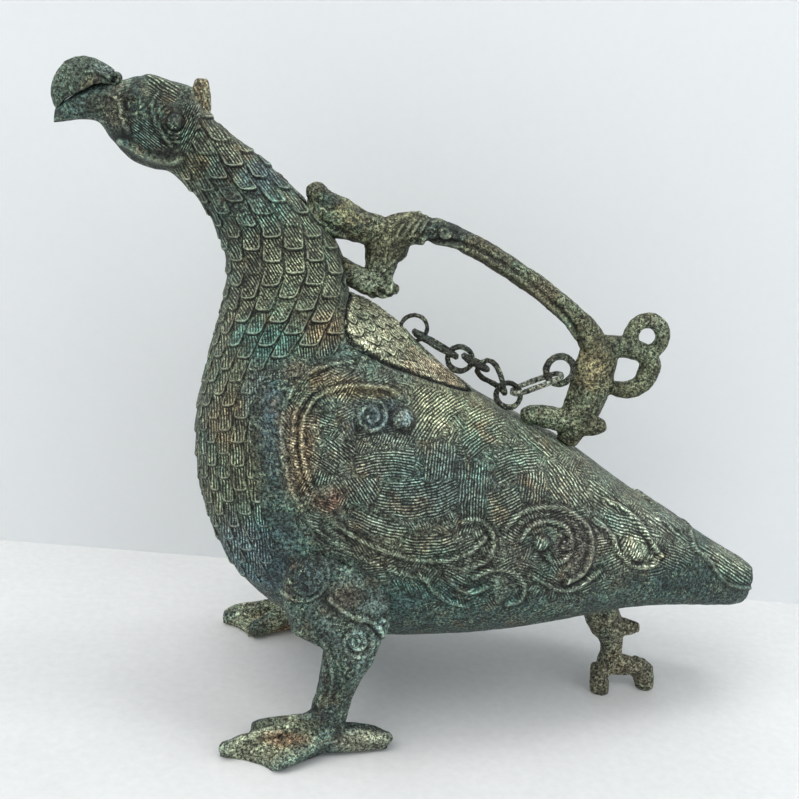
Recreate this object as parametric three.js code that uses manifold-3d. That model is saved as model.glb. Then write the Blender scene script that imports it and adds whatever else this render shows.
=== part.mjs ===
import * as THREE from 'three';
import { mergeVertices } from 'three/addons/utils/BufferGeometryUtils.js';
import Module from 'manifold-3d';

const wasm = await Module();
wasm.setup();

// Bird-shaped bronze vessel, in millimetres, +Z up, standing on z = 0.
// The head points to -X, the tail to +X, and the vessel is the same on both sides of Y = 0.

// Walls and fits
const wall = 2.4;
const seatGap = 0.3;
const lidWall = 2.4;
const lidGap = 1;
const lidDraft = 0.22;
const collarReach = 2.2;
const collarDepth = 1.8;
const rimGap = 1.2;
const rimWall = 1.8;
const rimDepth = 2.4;

// Overall reach: end of the tail, tip and crown of the upper beak, fullest half width
const tailEnd = 143.2;
const beakTip = -145;
const beakCrown = 245.2;
const fullestHalf = 54;

// Body, neck and head: each row is one section, from the tail to the beak.
// back and belly are [x, z] on the middle plane, half is the half width across.
const bodySections = [
  { back: [tailEnd, 59.4], belly: [tailEnd - 1.4, 49.6], half: 5 },
  { back: [140.8, 60.8], belly: [139, 45.8], half: 11 },
  { back: [135.2, 63.4], belly: [133.2, 44.6], half: 14.8 },
  { back: [121, 71], belly: [120, 45.6], half: 20.5 },
  { back: [101, 82], belly: [100, 46.4], half: 26.5 },
  { back: [81, 94.2], belly: [78, 45.2], half: 33.5 },
  { back: [59.2, 108.4], belly: [54, 40.8], half: 41.5 },
  { back: [35, 120.6], belly: [31, 36.8], half: 48 },
  { back: [14, 131.4], belly: [8, 33.8], half: 52 },
  { back: [-3, 144.4], belly: [-16, 32.6], half: fullestHalf },
  { back: [-15.8, 155.4], belly: [-40, 34.6], half: fullestHalf },
  { back: [-27.6, 163.2], belly: [-59, 43.8], half: 52 },
  { back: [-35.6, 166.4], belly: [-76.6, 61.5], half: 49 },
  { back: [-38.8, 174.6], belly: [-87.6, 87], half: 45 },
  { back: [-41.8, 184.6], belly: [-91, 113], half: 39 },
  { back: [-48.6, 193.8], belly: [-87.4, 138], half: 32 },
  { back: [-57.4, 202.4], belly: [-82.9, 160], half: 24.5 },
  { back: [-67.4, 211.4], belly: [-82.2, 176], half: 19.5 },
  { back: [-79.4, 220], belly: [-87.2, 190], half: 17 },
  { back: [-90.2, 228.2], belly: [-94.6, 200.4], half: 16 },
  { back: [-96.8, 236.4], belly: [-102.8, 207.2], half: 16 },
  { back: [-105.4, 238.6], belly: [-110, 208.4], half: 15.5 },
  { back: [-113, 240.4], belly: [-117.2, 211], half: 13 },
  { back: [-120.5, 238], belly: [-123.2, 216.4], half: 10.5 },
  { back: [-126, 237.4], belly: [-128.2, 222.8], half: 8.6 },
  { back: [-132.4, 234.8], belly: [-133.8, 223.6], half: 7.8 },
  { back: [-138.2, 231.2], belly: [-139.2, 222.6], half: 6.4 },
  { back: [-142.9, 227], belly: [-143.5, 221.8], half: 3.6 },
];
const bodyRoundness = 2.2;
const endRoundness = 3.4;
const tailEnds = 0.3;
const beakStarts = 0.88;
const bodyRows = 42;
const bodyFacets = 28;

// The hollow runs from behind the tail to the throat, as a share of the rows above.
const hollowStart = 0.045;
const hollowEnd = 0.86;
const hollowRows = 26;
const hollowFacets = 20;
const throatRadius = 4.6;
const throatRoute = [[-98, 222], [-110, 226], [-122, 228.6], [-130, 230.6], [-139, 231], [-150, 229.5]];

// Upright crest at the back of the head: x, z, half size along and half width
const headCrest = [
  [-95.4, 225.4, 4.6, 4.2], [-94.6, 230.6, 4.2, 4.4], [-93.8, 236, 3.4, 4], [-93.6, 240.4, 2.8, 3],
];

// Domed boss on each wing: share of the body's length, angle from the back, radius and height
const wingBoss = { share: 0.367, angle: 0.917, radius: 4.8, rise: 1.8 };

// Lid: a leaf that points to the tail, drawn along and across the slope of the back
const lidFront = [-36.8, 166.6];
const lidSlope = THREE.MathUtils.degToRad(36.5);
const lidLength = 60;
const lidHalfWidth = 34;
const lidShoulder = 15;
const lidSweep = 1.6;
const lidSideFullness = 0.6;
const lidShoulderRun = 2.3;
const lidTipStart = 0.97;
const lidTipFullness = 0.3;
const lidSideGrowth = 1.6;
const plugDepth = 60;
const plugAbove = 15;

// Wire parts
const loopWire = 0.9;
const loopRadius = 5.2;
const loopAlong = 28.24;
const loopLift = 6.22;
const linkWire = 1.2;
const handleRingWire = 1.5;
const handleRingRadius = 5.6;
const handleRingPlace = [49.2, 141];
const wireFacets = 6;
const wireSteps = 20;

// Upper beak and its pin
const beakPivot = [-123.2, 238.2];
const beakWall = 1.6;
const beakKnuckle = 2.2;
const beakKnuckleHalf = 5.2;
const beakLugHalf = 2.6;
const beakPin = 0.8;
const pinClearance = 0.25;
const beakSections = [
  { back: [-121.4, 239.6], belly: [-121.6, 237], half: 3 },
  { back: [-124, 241.6], belly: [-124.2, 237], half: 6 },
  { back: [-128.6, 244], belly: [-128.2, 237.6], half: 7.6 },
  { back: [-134.4, beakCrown], belly: [-132.4, 235.2], half: 7.8 },
  { back: [-139.8, 243.2], belly: [-136.4, 232.8], half: 7.2 },
  { back: [-143.5, 238.2], belly: [-139.4, 230.8], half: 6 },
  { back: [beakTip, 232.6], belly: [-141.8, 228.6], half: 4.4 },
  { back: [-144.2, 228.4], belly: [-143, 227.6], half: 2 },
];

// Legs, given for the left side; x, y out from the middle plane, z
const legSpine = [
  { at: [-47, 43, 84], along: 8, across: 8 },
  { at: [-43, 45.5, 74], along: 17, across: 10 },
  { at: [-35.4, 47.5, 60], along: 20.5, across: 9.5 },
  { at: [-30.8, 48.5, 47], along: 12, across: 8.2 },
  { at: [-33.2, 49, 36.2], along: 8.4, across: 6.6 },
  { at: [-36.2, 49.4, 23], along: 7, across: 5.4 },
  { at: [-38.6, 49.5, 11], along: 8.4, across: 5.8 },
  { at: [-38.6, 49.5, 2], along: 6, across: 5.4 },
];
const groundBlock = { span: 400, depth: 40 };
const ankle = [-38, 49.5];
const ankleRise = 7;
const toeRadius = 3;
const heelRadius = 3.7;
const toeRootSpread = 1.4;
const toeTips = [[-65.5, 38], [-77.2, 51.6], [-57.4, 61.2]];
const heelTip = [-12.4, 46];
const webHeight = 3;
const webNotches = [[-66, 45], [-62, 54.6]];
const webRise = 9;

// Tiger handle, on the middle plane: x, z, half height in the plane and half width across
const tigerHead = [
  [-54, 199.3, 5.5, 6.5], [-48.5, 196.8, 8.6, 9], [-41, 194.6, 8, 8.4], [-34, 192.4, 6.2, 6.4],
  [-25, 190.8, 6.8, 5.6],
];

// Left ear of the tiger: x, y out from the middle plane, z, half size along and half size across
const tigerEar = [[-48.4, 4.4, 199.4, 4.6, 3.6], [-50.4, 4.6, 203.4, 4.2, 3.4], [-51.6, 4.8, 206.8, 3, 2.9]];

// Back and limbs of the tiger, as its head
const tigerArch = [
  [-25, 191, 6.8, 5.8], [-15.5, 192.8, 6.8, 5.6], [-6.5, 193, 4.8, 4.9], [3, 190.4, 4.4, 4.6],
  [14, 185.8, 4.4, 4.5], [27, 179, 4.4, 4.5], [40, 171.2, 4.5, 4.5], [50, 164, 4.8, 4.8],
  [58.4, 156.4, 5.4, 5], [63.6, 148, 6.4, 5],
];
const tigerForeleg = [
  [-21.4, 190, 9, 5], [-23.8, 185, 8.6, 4.8], [-24.8, 180.4, 6.6, 4.6], [-25.2, 174, 5, 4.8],
  [-25.4, 169.6, 4, 4.6],
];
const tigerForefoot = [
  [-46, 181.2, 3.4, 4.6], [-41, 177.2, 4.2, 4.8], [-34, 173.2, 4.6, 4.9], [-27, 170.2, 4.3, 4.8],
  [-21.5, 169.2, 3.4, 4.2], [-17.4, 170, 1.6, 2.2],
];
const tigerHindleg = [
  [64.6, 153, 8.4, 5], [63.4, 142, 8.6, 4.9], [62, 132, 8.6, 4.8], [58.6, 122, 7.6, 5], [55.6, 110, 4.8, 5],
];
const tigerHindfoot = [
  [35.6, 121.4, 2.6, 4.4], [41, 122.2, 4.2, 5], [50, 120.8, 4.9, 5], [60, 118.6, 4.8, 5], [66, 118.4, 4, 4.6],
  [71.2, 118.6, 2.8, 3.4],
];
const tigerTail = [
  [64, 152, 5, 4.4], [72, 151.8, 4.6, 3.9], [80, 150.4, 4, 3.7], [85.2, 147.4, 4.6, 3.7],
  [85.6, 142, 4.8, 3.7], [83, 136.6, 4.2, 3.7], [77.6, 134.2, 3.8, 3.6], [70.4, 134.8, 3.4, 3.4],
];
const tailCurl = { at: [82.5, 156.4], radius: 6.6, wire: 3.2 };
const limbFacets = 8;
const limbBluntness = 7;

// Small beast under the tail: x, y, z, half size along and half size across
const supportTrunk = [
  [75, 0, 54, 8, 8], [78, 0, 43, 7.4, 8], [82.4, 0, 33, 7.8, 8], [86.4, 0, 26, 6.2, 6.2],
  [88, 0, 19.6, 4.7, 5], [87.8, -0.5, 13, 6.2, 5.6],
];
const supportSnout = [[84, 0, 29.6, 5, 5], [91.5, 0, 28.8, 4.4, 4.2], [99.4, 0, 28.4, 2, 2.2]];
const supportBelly = [[82.4, -2, 12.6, 5.4, 5.2], [91, -1.2, 11.6, 5, 4.8], [98.6, -0.6, 10.6, 4.6, 4.6]];
const supportNearLeg = [[83.4, -3, 13, 5, 4.6], [83.2, -4, 6, 4.3, 4.2], [84.4, -4.4, -1.4, 4.4, 4.2]];
const supportRearLeg = [[97.4, -0.5, 12, 4.6, 4.6], [103.6, -0.6, 7.4, 5, 4.6], [105.6, -0.8, -1, 4.2, 4.2]];

// Chain at rest, from the handle ring to the lid: centres of the cross wires that the links turn about
const handleRingPin = new THREE.Vector3(50, 0.6, 139);
const lowRingRightPin = new THREE.Vector3(30.1, -4.5, 132.3);
const lowRingLeftPin = new THREE.Vector3(26.7, -4.2, 132.2);
const twistedLinkPin = new THREE.Vector3(19, -2.8, 141);
const highRingRightPin = new THREE.Vector3(9.9, -2.6, 145.2);
const highRingLeftPin = new THREE.Vector3(6.5, -2.6, 145.4);
const lidLoopPin = new THREE.Vector3(-10, -0.3, 153.4);
const linkHalfWidth = 4;
const linkSquareness = 3.4;
const hookReach = 2.8;
const lowRing = { centre: new THREE.Vector3(28.4, -4.8, 131.2), halfHeight: 4.8, halfWidth: 4.9, lean: 0.4 };
const highRing = { centre: new THREE.Vector3(8.2, -3, 144.4), halfHeight: 4.7, halfWidth: 4.9, lean: 0.3 };

// Builds a manifold solid from a closed geometry, with its faces turned outwards.
function solidOf(geometry) {
  const bare = geometry.clone();
  bare.deleteAttribute('normal');
  bare.deleteAttribute('uv');
  const merged = mergeVertices(bare, 1e-4);
  const places = merged.attributes.position;
  const corners = Array.from(merged.index.array);
  const faces = [];
  for (let i = 0; i < corners.length; i += 3) {
    const [a, b, c] = corners.slice(i, i + 3);
    if (a !== b && b !== c && a !== c) faces.push([a, b, c]);
  }
  const point = (i) => new THREE.Vector3().fromBufferAttribute(places, i);
  const volume = faces.reduce((sum, [a, b, c]) => sum + point(a).dot(point(b).cross(point(c))), 0);
  const outward = volume < 0 ? faces.map(([a, b, c]) => [a, c, b]) : faces;
  return new wasm.Manifold(new wasm.Mesh({
    numProp: 3,
    vertProperties: new Float32Array(places.array),
    triVerts: new Uint32Array(outward.flat()),
  }));
}

function geometryOf(solid) {
  const mesh = solid.getMesh();
  const geometry = new THREE.BufferGeometry();
  geometry.setAttribute('position', new THREE.BufferAttribute(new Float32Array(mesh.vertProperties), 3));
  geometry.setIndex(new THREE.BufferAttribute(new Uint32Array(mesh.triVerts), 1));
  geometry.computeVertexNormals();
  return geometry;
}

function join(solids) {
  return solids.reduce((whole, piece) => whole.add(piece));
}

// Moves the rows of a closed cylinder onto the sections that place(along, angle, reach) gives.
function loft(rows, facets, place) {
  const geometry = new THREE.CylinderGeometry(1, 1, 1, facets, rows);
  const position = geometry.attributes.position;
  for (let i = 0; i < position.count; i += 1) {
    const x = position.getX(i);
    const z = position.getZ(i);
    const reach = Math.min(1, Math.round(Math.hypot(x, z)));
    const spot = place(position.getY(i) + 0.5, Math.atan2(z, x), reach);
    position.setXYZ(i, spot.x, spot.y, spot.z);
  }
  return solidOf(geometry);
}

// Rounds a limb's end: full in the middle, closed at both ends.
function roundedEnd(along, bluntness) {
  return Math.pow(1 - Math.pow(Math.abs(2 * along - 1), bluntness), 1 / bluntness);
}

// A limb follows centre points; inPlane and across are its half sizes beside the wide axis and along it.
function limb(points, wideAxis, bluntness, facets = limbFacets) {
  const centre = new THREE.CatmullRomCurve3(points.map((p) => p.centre));
  const sizes = new THREE.CatmullRomCurve3(points.map((p) => new THREE.Vector3(p.inPlane, p.across, 0)));
  const rows = 2 * points.length;
  return loft(rows, facets, (along, angle, reach) => {
    const eased = 0.5 - 0.5 * Math.cos(Math.PI * along);
    const spot = centre.getPoint(eased);
    const size = sizes.getPoint(eased).multiplyScalar(reach * roundedEnd(eased, bluntness));
    const tangent = centre.getTangent(eased);
    const wide = wideAxis.clone().addScaledVector(tangent, -wideAxis.dot(tangent)).normalize();
    const narrow = new THREE.Vector3().crossVectors(wide, tangent);
    spot.addScaledVector(narrow, size.x * Math.cos(angle));
    return spot.addScaledVector(wide, size.y * Math.sin(angle));
  });
}

const acrossBody = new THREE.Vector3(0, 1, 0);
const upright = new THREE.Vector3(0, 0, 1);

// A limb whose rows are x, y and z of its centre and its two half sizes
function freeLimb(rows, bluntness = limbBluntness) {
  const points = rows.map(([x, y, z, inPlane, across]) => {
    return { centre: new THREE.Vector3(x, y, z), inPlane, across };
  });
  return limb(points, acrossBody, bluntness);
}

function midPlaneLimb(rows, bluntness) {
  return freeLimb(rows.map(([x, z, inPlane, across]) => [x, 0, z, inPlane, across]), bluntness);
}

// Smooth curves along the back and the belly; y of the back curve carries the half width.
function sectionCurves(sections) {
  const curve = (points) => new THREE.CatmullRomCurve3(points, false, 'catmullrom', 0.5);
  return {
    back: curve(sections.map((s) => new THREE.Vector3(s.back[0], s.half, s.back[1]))),
    belly: curve(sections.map((s) => new THREE.Vector3(s.belly[0], 0, s.belly[1]))),
  };
}

const bodyCurves = sectionCurves(bodySections);
const beakCurves = sectionCurves(beakSections);

// A point of the section skin, moved inwards by inset
function skinPoint(curves, along, angle, reach, inset, roundness) {
  const back = curves.back.getPoint(along);
  const belly = curves.belly.getPoint(along);
  const half = (back.y - inset) * reach;
  back.y = 0;
  const height = (back.distanceTo(belly) / 2 - inset) * reach;
  const rise = back.clone().sub(belly).normalize();
  const power = (value) => Math.sign(value) * Math.pow(Math.abs(value), 2 / roundness);
  const spot = back.add(belly).multiplyScalar(0.5);
  spot.addScaledVector(rise, height * power(Math.cos(angle)));
  spot.y = half * power(Math.sin(angle));
  return spot;
}

// The body's skin as a solid, inset by a depth, between two shares of its length
function bodySolid(inset, start = 0, end = 1, rows = bodyRows, facets = bodyFacets) {
  return loft(rows, facets, (along, angle, reach) => {
    const share = start + (end - start) * along;
    const boxy = Math.max(0, 1 - share / tailEnds, (share - beakStarts) / (1 - beakStarts));
    const roundness = bodyRoundness + (endRoundness - bodyRoundness) * boxy;
    return skinPoint(bodyCurves, share, angle, reach, inset, roundness);
  });
}

function crossCylinder([x, z], radius, halfLength, facets = 16) {
  const geometry = new THREE.CylinderGeometry(radius, radius, 2 * halfLength, facets);
  geometry.translate(x, 0, z);
  return solidOf(geometry);
}

// Unit directions of the lid: along its slope towards the tail, and out of the back
const lidAlong = new THREE.Vector3(Math.cos(lidSlope), 0, -Math.sin(lidSlope));
const lidOut = new THREE.Vector3(Math.sin(lidSlope), 0, Math.cos(lidSlope));

// A point of the middle plane, along the lid from its front and out of it
function lidPoint(along, out) {
  const front = new THREE.Vector3(lidFront[0], 0, lidFront[1]);
  return front.addScaledVector(lidAlong, along).addScaledVector(lidOut, out);
}

// A plug of the lid's leaf outline, grown by grow, wider towards the outside by the draft
function lidPlug(grow) {
  const shape = new THREE.Shape();
  const front = -grow;
  const tip = lidLength + lidSideGrowth * grow;
  const half = lidHalfWidth + grow;
  const side = half * lidSideFullness;
  const point = half * lidTipFullness;
  const run = lidShoulder * lidShoulderRun;
  shape.moveTo(front + lidSweep, 0);
  shape.bezierCurveTo(front - lidSweep, side, front - 2 * lidSweep, half, lidShoulder, half);
  shape.bezierCurveTo(run, half, tip * lidTipStart, point, tip, 0);
  shape.bezierCurveTo(tip * lidTipStart, -point, run, -half, lidShoulder, -half);
  shape.bezierCurveTo(front - 2 * lidSweep, -half, front - lidSweep, -side, front + lidSweep, 0);
  const settings = { depth: plugDepth, bevelEnabled: false, curveSegments: 6 };
  const geometry = new THREE.ExtrudeGeometry(shape, settings);
  const position = geometry.attributes.position;
  for (let i = 0; i < position.count; i += 1) {
    const level = position.getZ(i) + plugAbove - plugDepth;
    const spread = 1 + (lidDraft * level) / lidHalfWidth;
    const along = lidShoulder + (position.getX(i) - lidShoulder) * spread;
    const across = position.getY(i) * spread;
    const spot = lidPoint(along, level);
    position.setXYZ(i, spot.x, across, spot.z);
  }
  return solidOf(geometry);
}

function throat() {
  const points = throatRoute.map(([x, z]) => ({
    centre: new THREE.Vector3(x, 0, z), inPlane: throatRadius, across: throatRadius,
  }));
  return limb(points, acrossBody, 12);
}

function crest() {
  return midPlaneLimb(headCrest, 4);
}

// A ball sunk in the skin so far that only its cap shows
function boss(side) {
  const { share, angle, radius, rise } = wingBoss;
  const ballRadius = (radius * radius + rise * rise) / (2 * rise);
  const centre = skinPoint(bodyCurves, share, side * angle, 1, ballRadius - rise, bodyRoundness);
  const ball = new THREE.SphereGeometry(ballRadius, 14, 10);
  ball.rotateX((-side * Math.PI) / 3);
  ball.translate(centre.x, centre.y, centre.z);
  return solidOf(ball);
}

function bodyShell() {
  const outer = bodySolid(0).add(crest()).add(boss(-1)).add(boss(1));
  const inner = bodySolid(wall, hollowStart, hollowEnd, hollowRows, hollowFacets);
  const collarTop = lidWall + seatGap;
  const collar = backSkin(wall - 0.3, collarTop + collarDepth)
    .intersect(lidPlug(collarReach))
    .subtract(lidPlug(-collarReach));
  const lidSeat = lidPlug(lidGap).subtract(bodySolid(collarTop));
  const knuckleRoom = crossCylinder(beakPivot, beakKnuckle + seatGap, beakKnuckleHalf + 3);
  return outer
    .subtract(inner)
    .add(collar)
    .subtract(lidSeat)
    .subtract(lidPlug(-collarReach))
    .subtract(throat())
    .subtract(knuckleRoom)
    .subtract(beakSolid(-seatGap, seatGap))
    .add(beakLug());
}

// A layer of the body's skin around the filling mouth, between two depths
function backSkin(top, bottom) {
  return bodySolid(top).subtract(bodySolid(bottom));
}

// The eye on the head that carries the beak's pin
function beakLug() {
  const post = new THREE.BoxGeometry(beakKnuckle, 2 * beakLugHalf, 2 * beakKnuckle);
  post.translate(beakPivot[0], 0, beakPivot[1] - beakKnuckle);
  return crossCylinder(beakPivot, beakKnuckle - 0.2, beakLugHalf)
    .add(solidOf(post))
    .subtract(crossCylinder(beakPivot, beakPin + pinClearance, beakKnuckleHalf, 12));
}

function lid() {
  const plate = backSkin(0, lidWall).intersect(lidPlug(0));
  const rimEdge = -collarReach - rimGap;
  const rim = backSkin(lidWall - 0.4, lidWall + rimDepth)
    .intersect(lidPlug(rimEdge))
    .subtract(lidPlug(rimEdge - rimWall));
  return plate.add(rim);
}

function lidLoop() {
  const arch = new THREE.TorusGeometry(loopRadius, loopWire, wireFacets, wireSteps);
  arch.rotateX(Math.PI / 2);
  arch.rotateY(lidSlope);
  const place = lidPoint(loopAlong, loopLift);
  arch.translate(place.x, 0, place.z);
  return solidOf(arch).subtract(bodySolid(-seatGap));
}

// The dome of the upper beak, flat underneath, moved inwards by inset and lowered by drop
function beakSolid(inset, drop) {
  return loft(12, 14, (along, angle, reach) => {
    const back = beakCurves.back.getPoint(along);
    const belly = beakCurves.belly.getPoint(along);
    const half = (back.y - inset) * reach;
    back.y = 0;
    const rise = back.clone().sub(belly);
    const height = (rise.length() - inset + drop) * reach;
    rise.normalize();
    const spot = belly.clone().addScaledVector(rise, -drop + height * Math.max(0, Math.cos(angle)));
    spot.y = half * Math.sin(angle);
    return spot;
  });
}

function upperBeak() {
  const dome = beakSolid(0, 0).subtract(beakSolid(beakWall, 1));
  const cheeks = crossCylinder(beakPivot, beakKnuckle, beakKnuckleHalf);
  const slot = crossCylinder(beakPivot, beakKnuckle + 0.5, beakLugHalf + seatGap);
  const bore = crossCylinder(beakPivot, beakPin + pinClearance, beakKnuckleHalf + 1);
  return dome.add(cheeks).subtract(slot).subtract(bore);
}

function beakHingePin() {
  return crossCylinder(beakPivot, beakPin, beakKnuckleHalf - 0.4, 16);
}

// Level ground cut: everything below z = 0
function ground() {
  const block = new THREE.BoxGeometry(groundBlock.span, groundBlock.span, groundBlock.depth);
  block.translate(0, 0, -groundBlock.depth / 2);
  return solidOf(block);
}

function toe(side, tip, tipRadius) {
  const root = new THREE.Vector3(ankle[0], side * ankle[1], ankleRise);
  const end = new THREE.Vector3(tip[0], side * tip[1], tipRadius);
  const points = [0, 0.35, 0.7, 1].map((share) => {
    const centre = root.clone().lerp(end, share);
    centre.z = THREE.MathUtils.lerp(ankleRise, tipRadius, share * share);
    return { centre, inPlane: tipRadius * THREE.MathUtils.lerp(toeRootSpread, 1, share), across: centre.z };
  });
  return limb(points, upright, 8, 8);
}

// The web between the toes: a thin plate with hollow front edges
function web(side) {
  const [inner, middle, outer] = toeTips;
  const [notchA, notchB] = webNotches;
  const shape = new THREE.Shape();
  shape.moveTo(ankle[0], side * ankle[1]);
  shape.lineTo(inner[0], side * inner[1]);
  shape.quadraticCurveTo(notchA[0], side * notchA[1], middle[0], side * middle[1]);
  shape.quadraticCurveTo(notchB[0], side * notchB[1], outer[0], side * outer[1]);
  shape.closePath();
  const plate = new THREE.ExtrudeGeometry(shape, { depth: webHeight, bevelEnabled: false, curveSegments: 6 });
  const position = plate.attributes.position;
  for (let i = 0; i < position.count; i += 1) {
    const fromAnkle = Math.hypot(position.getX(i) - ankle[0], position.getY(i) - side * ankle[1]);
    if (fromAnkle < toeRadius && position.getZ(i) > 0) position.setZ(i, webHeight + webRise);
  }
  return solidOf(plate);
}

function leg(side) {
  const shank = limb(
    legSpine.map(({ at, along, across }) => {
      return { centre: new THREE.Vector3(at[0], side * at[1], at[2]), inPlane: along, across };
    }),
    acrossBody,
    6,
    12,
  );
  const toes = toeTips.map((tip) => toe(side, tip, toeRadius));
  const pieces = [shank, ...toes, toe(side, heelTip, heelRadius), web(side)];
  return join(pieces).subtract(ground()).subtract(bodySolid(-seatGap));
}

function tailSupportTiger() {
  const pieces = [supportTrunk, supportSnout, supportBelly, supportNearLeg, supportRearLeg];
  return join(pieces.map((rows) => freeLimb(rows, 6))).subtract(ground()).subtract(bodySolid(-seatGap));
}

function tigerHandle() {
  const limbs = [tigerHead, tigerArch, tigerForeleg, tigerForefoot, tigerHindleg, tigerHindfoot, tigerTail];
  const curl = new THREE.TorusGeometry(tailCurl.radius, tailCurl.wire, 8, 20);
  curl.rotateX(Math.PI / 2);
  curl.translate(tailCurl.at[0], 0, tailCurl.at[1]);
  const ears = [-1, 1].map((side) => {
    return freeLimb(tigerEar.map(([x, y, z, inPlane, across]) => [x, side * y, z, inPlane, across]), 4);
  });
  const whole = join([...limbs.map((rows) => midPlaneLimb(rows)), solidOf(curl), ...ears]);
  return whole.subtract(bodySolid(-seatGap));
}

// The ring ends on the hind leg of the handle.
function handleRing() {
  const ring = new THREE.TorusGeometry(handleRingRadius, handleRingWire, wireFacets, wireSteps);
  ring.rotateX(Math.PI / 2);
  ring.translate(handleRingPlace[0], 0, handleRingPlace[1]);
  const legRoom = tigerHindleg.map(([x, z, inPlane, across]) => [x, z, inPlane + seatGap, across + seatGap]);
  return solidOf(ring).subtract(midPlaneLimb(legRoom));
}

// A closed oval of wire about a centre. run is its whole length. It lies flat along besideStart at
// its start and along besideEnd at its end, so a link with two directions is twisted.
function ovalWire(centre, run, besideStart, besideEnd, halfWidth, squareness) {
  class Oval extends THREE.Curve {
    getPoint(share) {
      const turn = 2 * Math.PI * share;
      const bend = (value) => Math.sign(value) * Math.pow(Math.abs(value), 2 / squareness);
      const reach = bend(Math.cos(turn));
      const beside = besideStart.clone().lerp(besideEnd, (1 + reach) / 2).normalize();
      const spot = centre.clone().addScaledVector(run, reach / 2);
      return spot.addScaledVector(beside, halfWidth * bend(Math.sin(turn)));
    }
  }
  return solidOf(new THREE.TubeGeometry(new Oval(), wireSteps, linkWire, wireFacets, true));
}

// A link between two pins, flat across the chain; its end wires are the pins.
function crossLink(start, end) {
  const centre = start.clone().add(end).multiplyScalar(0.5);
  return ovalWire(centre, end.clone().sub(start), acrossBody, acrossBody, linkHalfWidth, linkSquareness);
}

// A link that hooks around the pin at its start, and is turned a quarter so that its end is a pin.
function twistedLink(hooked, end) {
  const run = end.clone().sub(hooked);
  const start = hooked.clone().addScaledVector(run.clone().normalize(), -hookReach);
  const upward = new THREE.Vector3().crossVectors(acrossBody, run).normalize();
  const centre = start.clone().add(end).multiplyScalar(0.5);
  return ovalWire(centre, end.clone().sub(start), upward, acrossBody, linkHalfWidth, linkSquareness);
}

// A ring that holds two pins. It hangs in the plane of the chain, or leans across it.
function hangingRing({ centre, halfHeight, halfWidth, lean }) {
  const alongBody = new THREE.Vector3(1, 0, 0);
  const upwards = upright.clone().addScaledVector(acrossBody, lean).setLength(2 * halfHeight);
  return ovalWire(centre, upwards, alongBody, alongBody, halfWidth, 2);
}

const patina = { teal: 0x3f5a52, olive: 0x5a5a42, pale: 0x9a9a80, dark: 0x33403c };

function bronze(color, roughness = 0.7) {
  return new THREE.MeshStandardMaterial({ color, roughness, metalness: 0.45 });
}

const vessel = new THREE.Group();

function addPart(name, solid, material) {
  const mesh = new THREE.Mesh(geometryOf(solid), material);
  mesh.name = name;
  vessel.add(mesh);
}

addPart('body_shell', bodyShell(), bronze(patina.teal));
addPart('lid', lid(), bronze(patina.pale, 0.8));
addPart('lid_loop', lidLoop(), bronze(patina.dark));
addPart('upper_beak', upperBeak(), bronze(patina.teal));
addPart('beak_hinge_pin', beakHingePin(), bronze(patina.dark));
addPart('left_leg', leg(-1), bronze(patina.teal));
addPart('right_leg', leg(1), bronze(patina.teal));
addPart('tail_support_tiger', tailSupportTiger(), bronze(patina.olive));
addPart('tiger_handle', tigerHandle(), bronze(patina.olive));
addPart('handle_ring', handleRing(), bronze(patina.dark));
addPart('chain_link_1', crossLink(handleRingPin, lowRingRightPin), bronze(patina.olive));
addPart('chain_link_2', hangingRing(lowRing), bronze(patina.dark));
addPart('chain_link_3', twistedLink(twistedLinkPin, lowRingLeftPin), bronze(patina.dark));
addPart('chain_link_4', crossLink(highRingRightPin, twistedLinkPin), bronze(patina.dark));
addPart('chain_link_5', hangingRing(highRing), bronze(patina.dark));
addPart('chain_link_6', crossLink(lidLoopPin, highRingLeftPin), bronze(patina.dark));

export default vessel;
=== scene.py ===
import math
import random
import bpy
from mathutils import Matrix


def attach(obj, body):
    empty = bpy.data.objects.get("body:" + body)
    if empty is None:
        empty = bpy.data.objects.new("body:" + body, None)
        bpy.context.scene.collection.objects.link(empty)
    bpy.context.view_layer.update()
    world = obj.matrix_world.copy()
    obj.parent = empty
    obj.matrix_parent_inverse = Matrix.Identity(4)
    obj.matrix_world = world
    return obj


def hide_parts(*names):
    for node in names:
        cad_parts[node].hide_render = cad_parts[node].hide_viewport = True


bl_info = {
    "name": "Bird-Shaped Bronze Vessel",
    "version": (1, 0, 0),
    "blender": (4, 5, 0),
    "location": "View3D > Sidebar > Vessel",
    "description": "Models the carved surfaces, chain and patina of a bronze vessel in the shape of a bird",
    "category": "Add Mesh",
}

import bmesh
import bpy
import numpy as np
from mathutils import Matrix, Vector, noise
from mathutils.bvhtree import BVHTree

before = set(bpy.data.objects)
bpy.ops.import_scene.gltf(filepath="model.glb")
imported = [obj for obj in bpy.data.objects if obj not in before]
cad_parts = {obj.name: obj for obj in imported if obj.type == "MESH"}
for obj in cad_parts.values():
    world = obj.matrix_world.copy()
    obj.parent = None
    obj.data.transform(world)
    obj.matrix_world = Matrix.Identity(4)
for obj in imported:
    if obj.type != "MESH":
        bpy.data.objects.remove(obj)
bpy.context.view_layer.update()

MM = 0.001

# The camera of the photograph, in millimetres, degrees and pixels
AIM = np.array([-13.4, 0.0, 126.0])
AZIMUTH = math.radians(-9)
ELEVATION = math.radians(17.23)
ROLL = math.radians(5.2)
DISTANCE = 460
PICTURE = 799
FOCAL_PIXELS = 1181.4

BACKDROP = (0.76, 0.785, 0.8)

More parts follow.
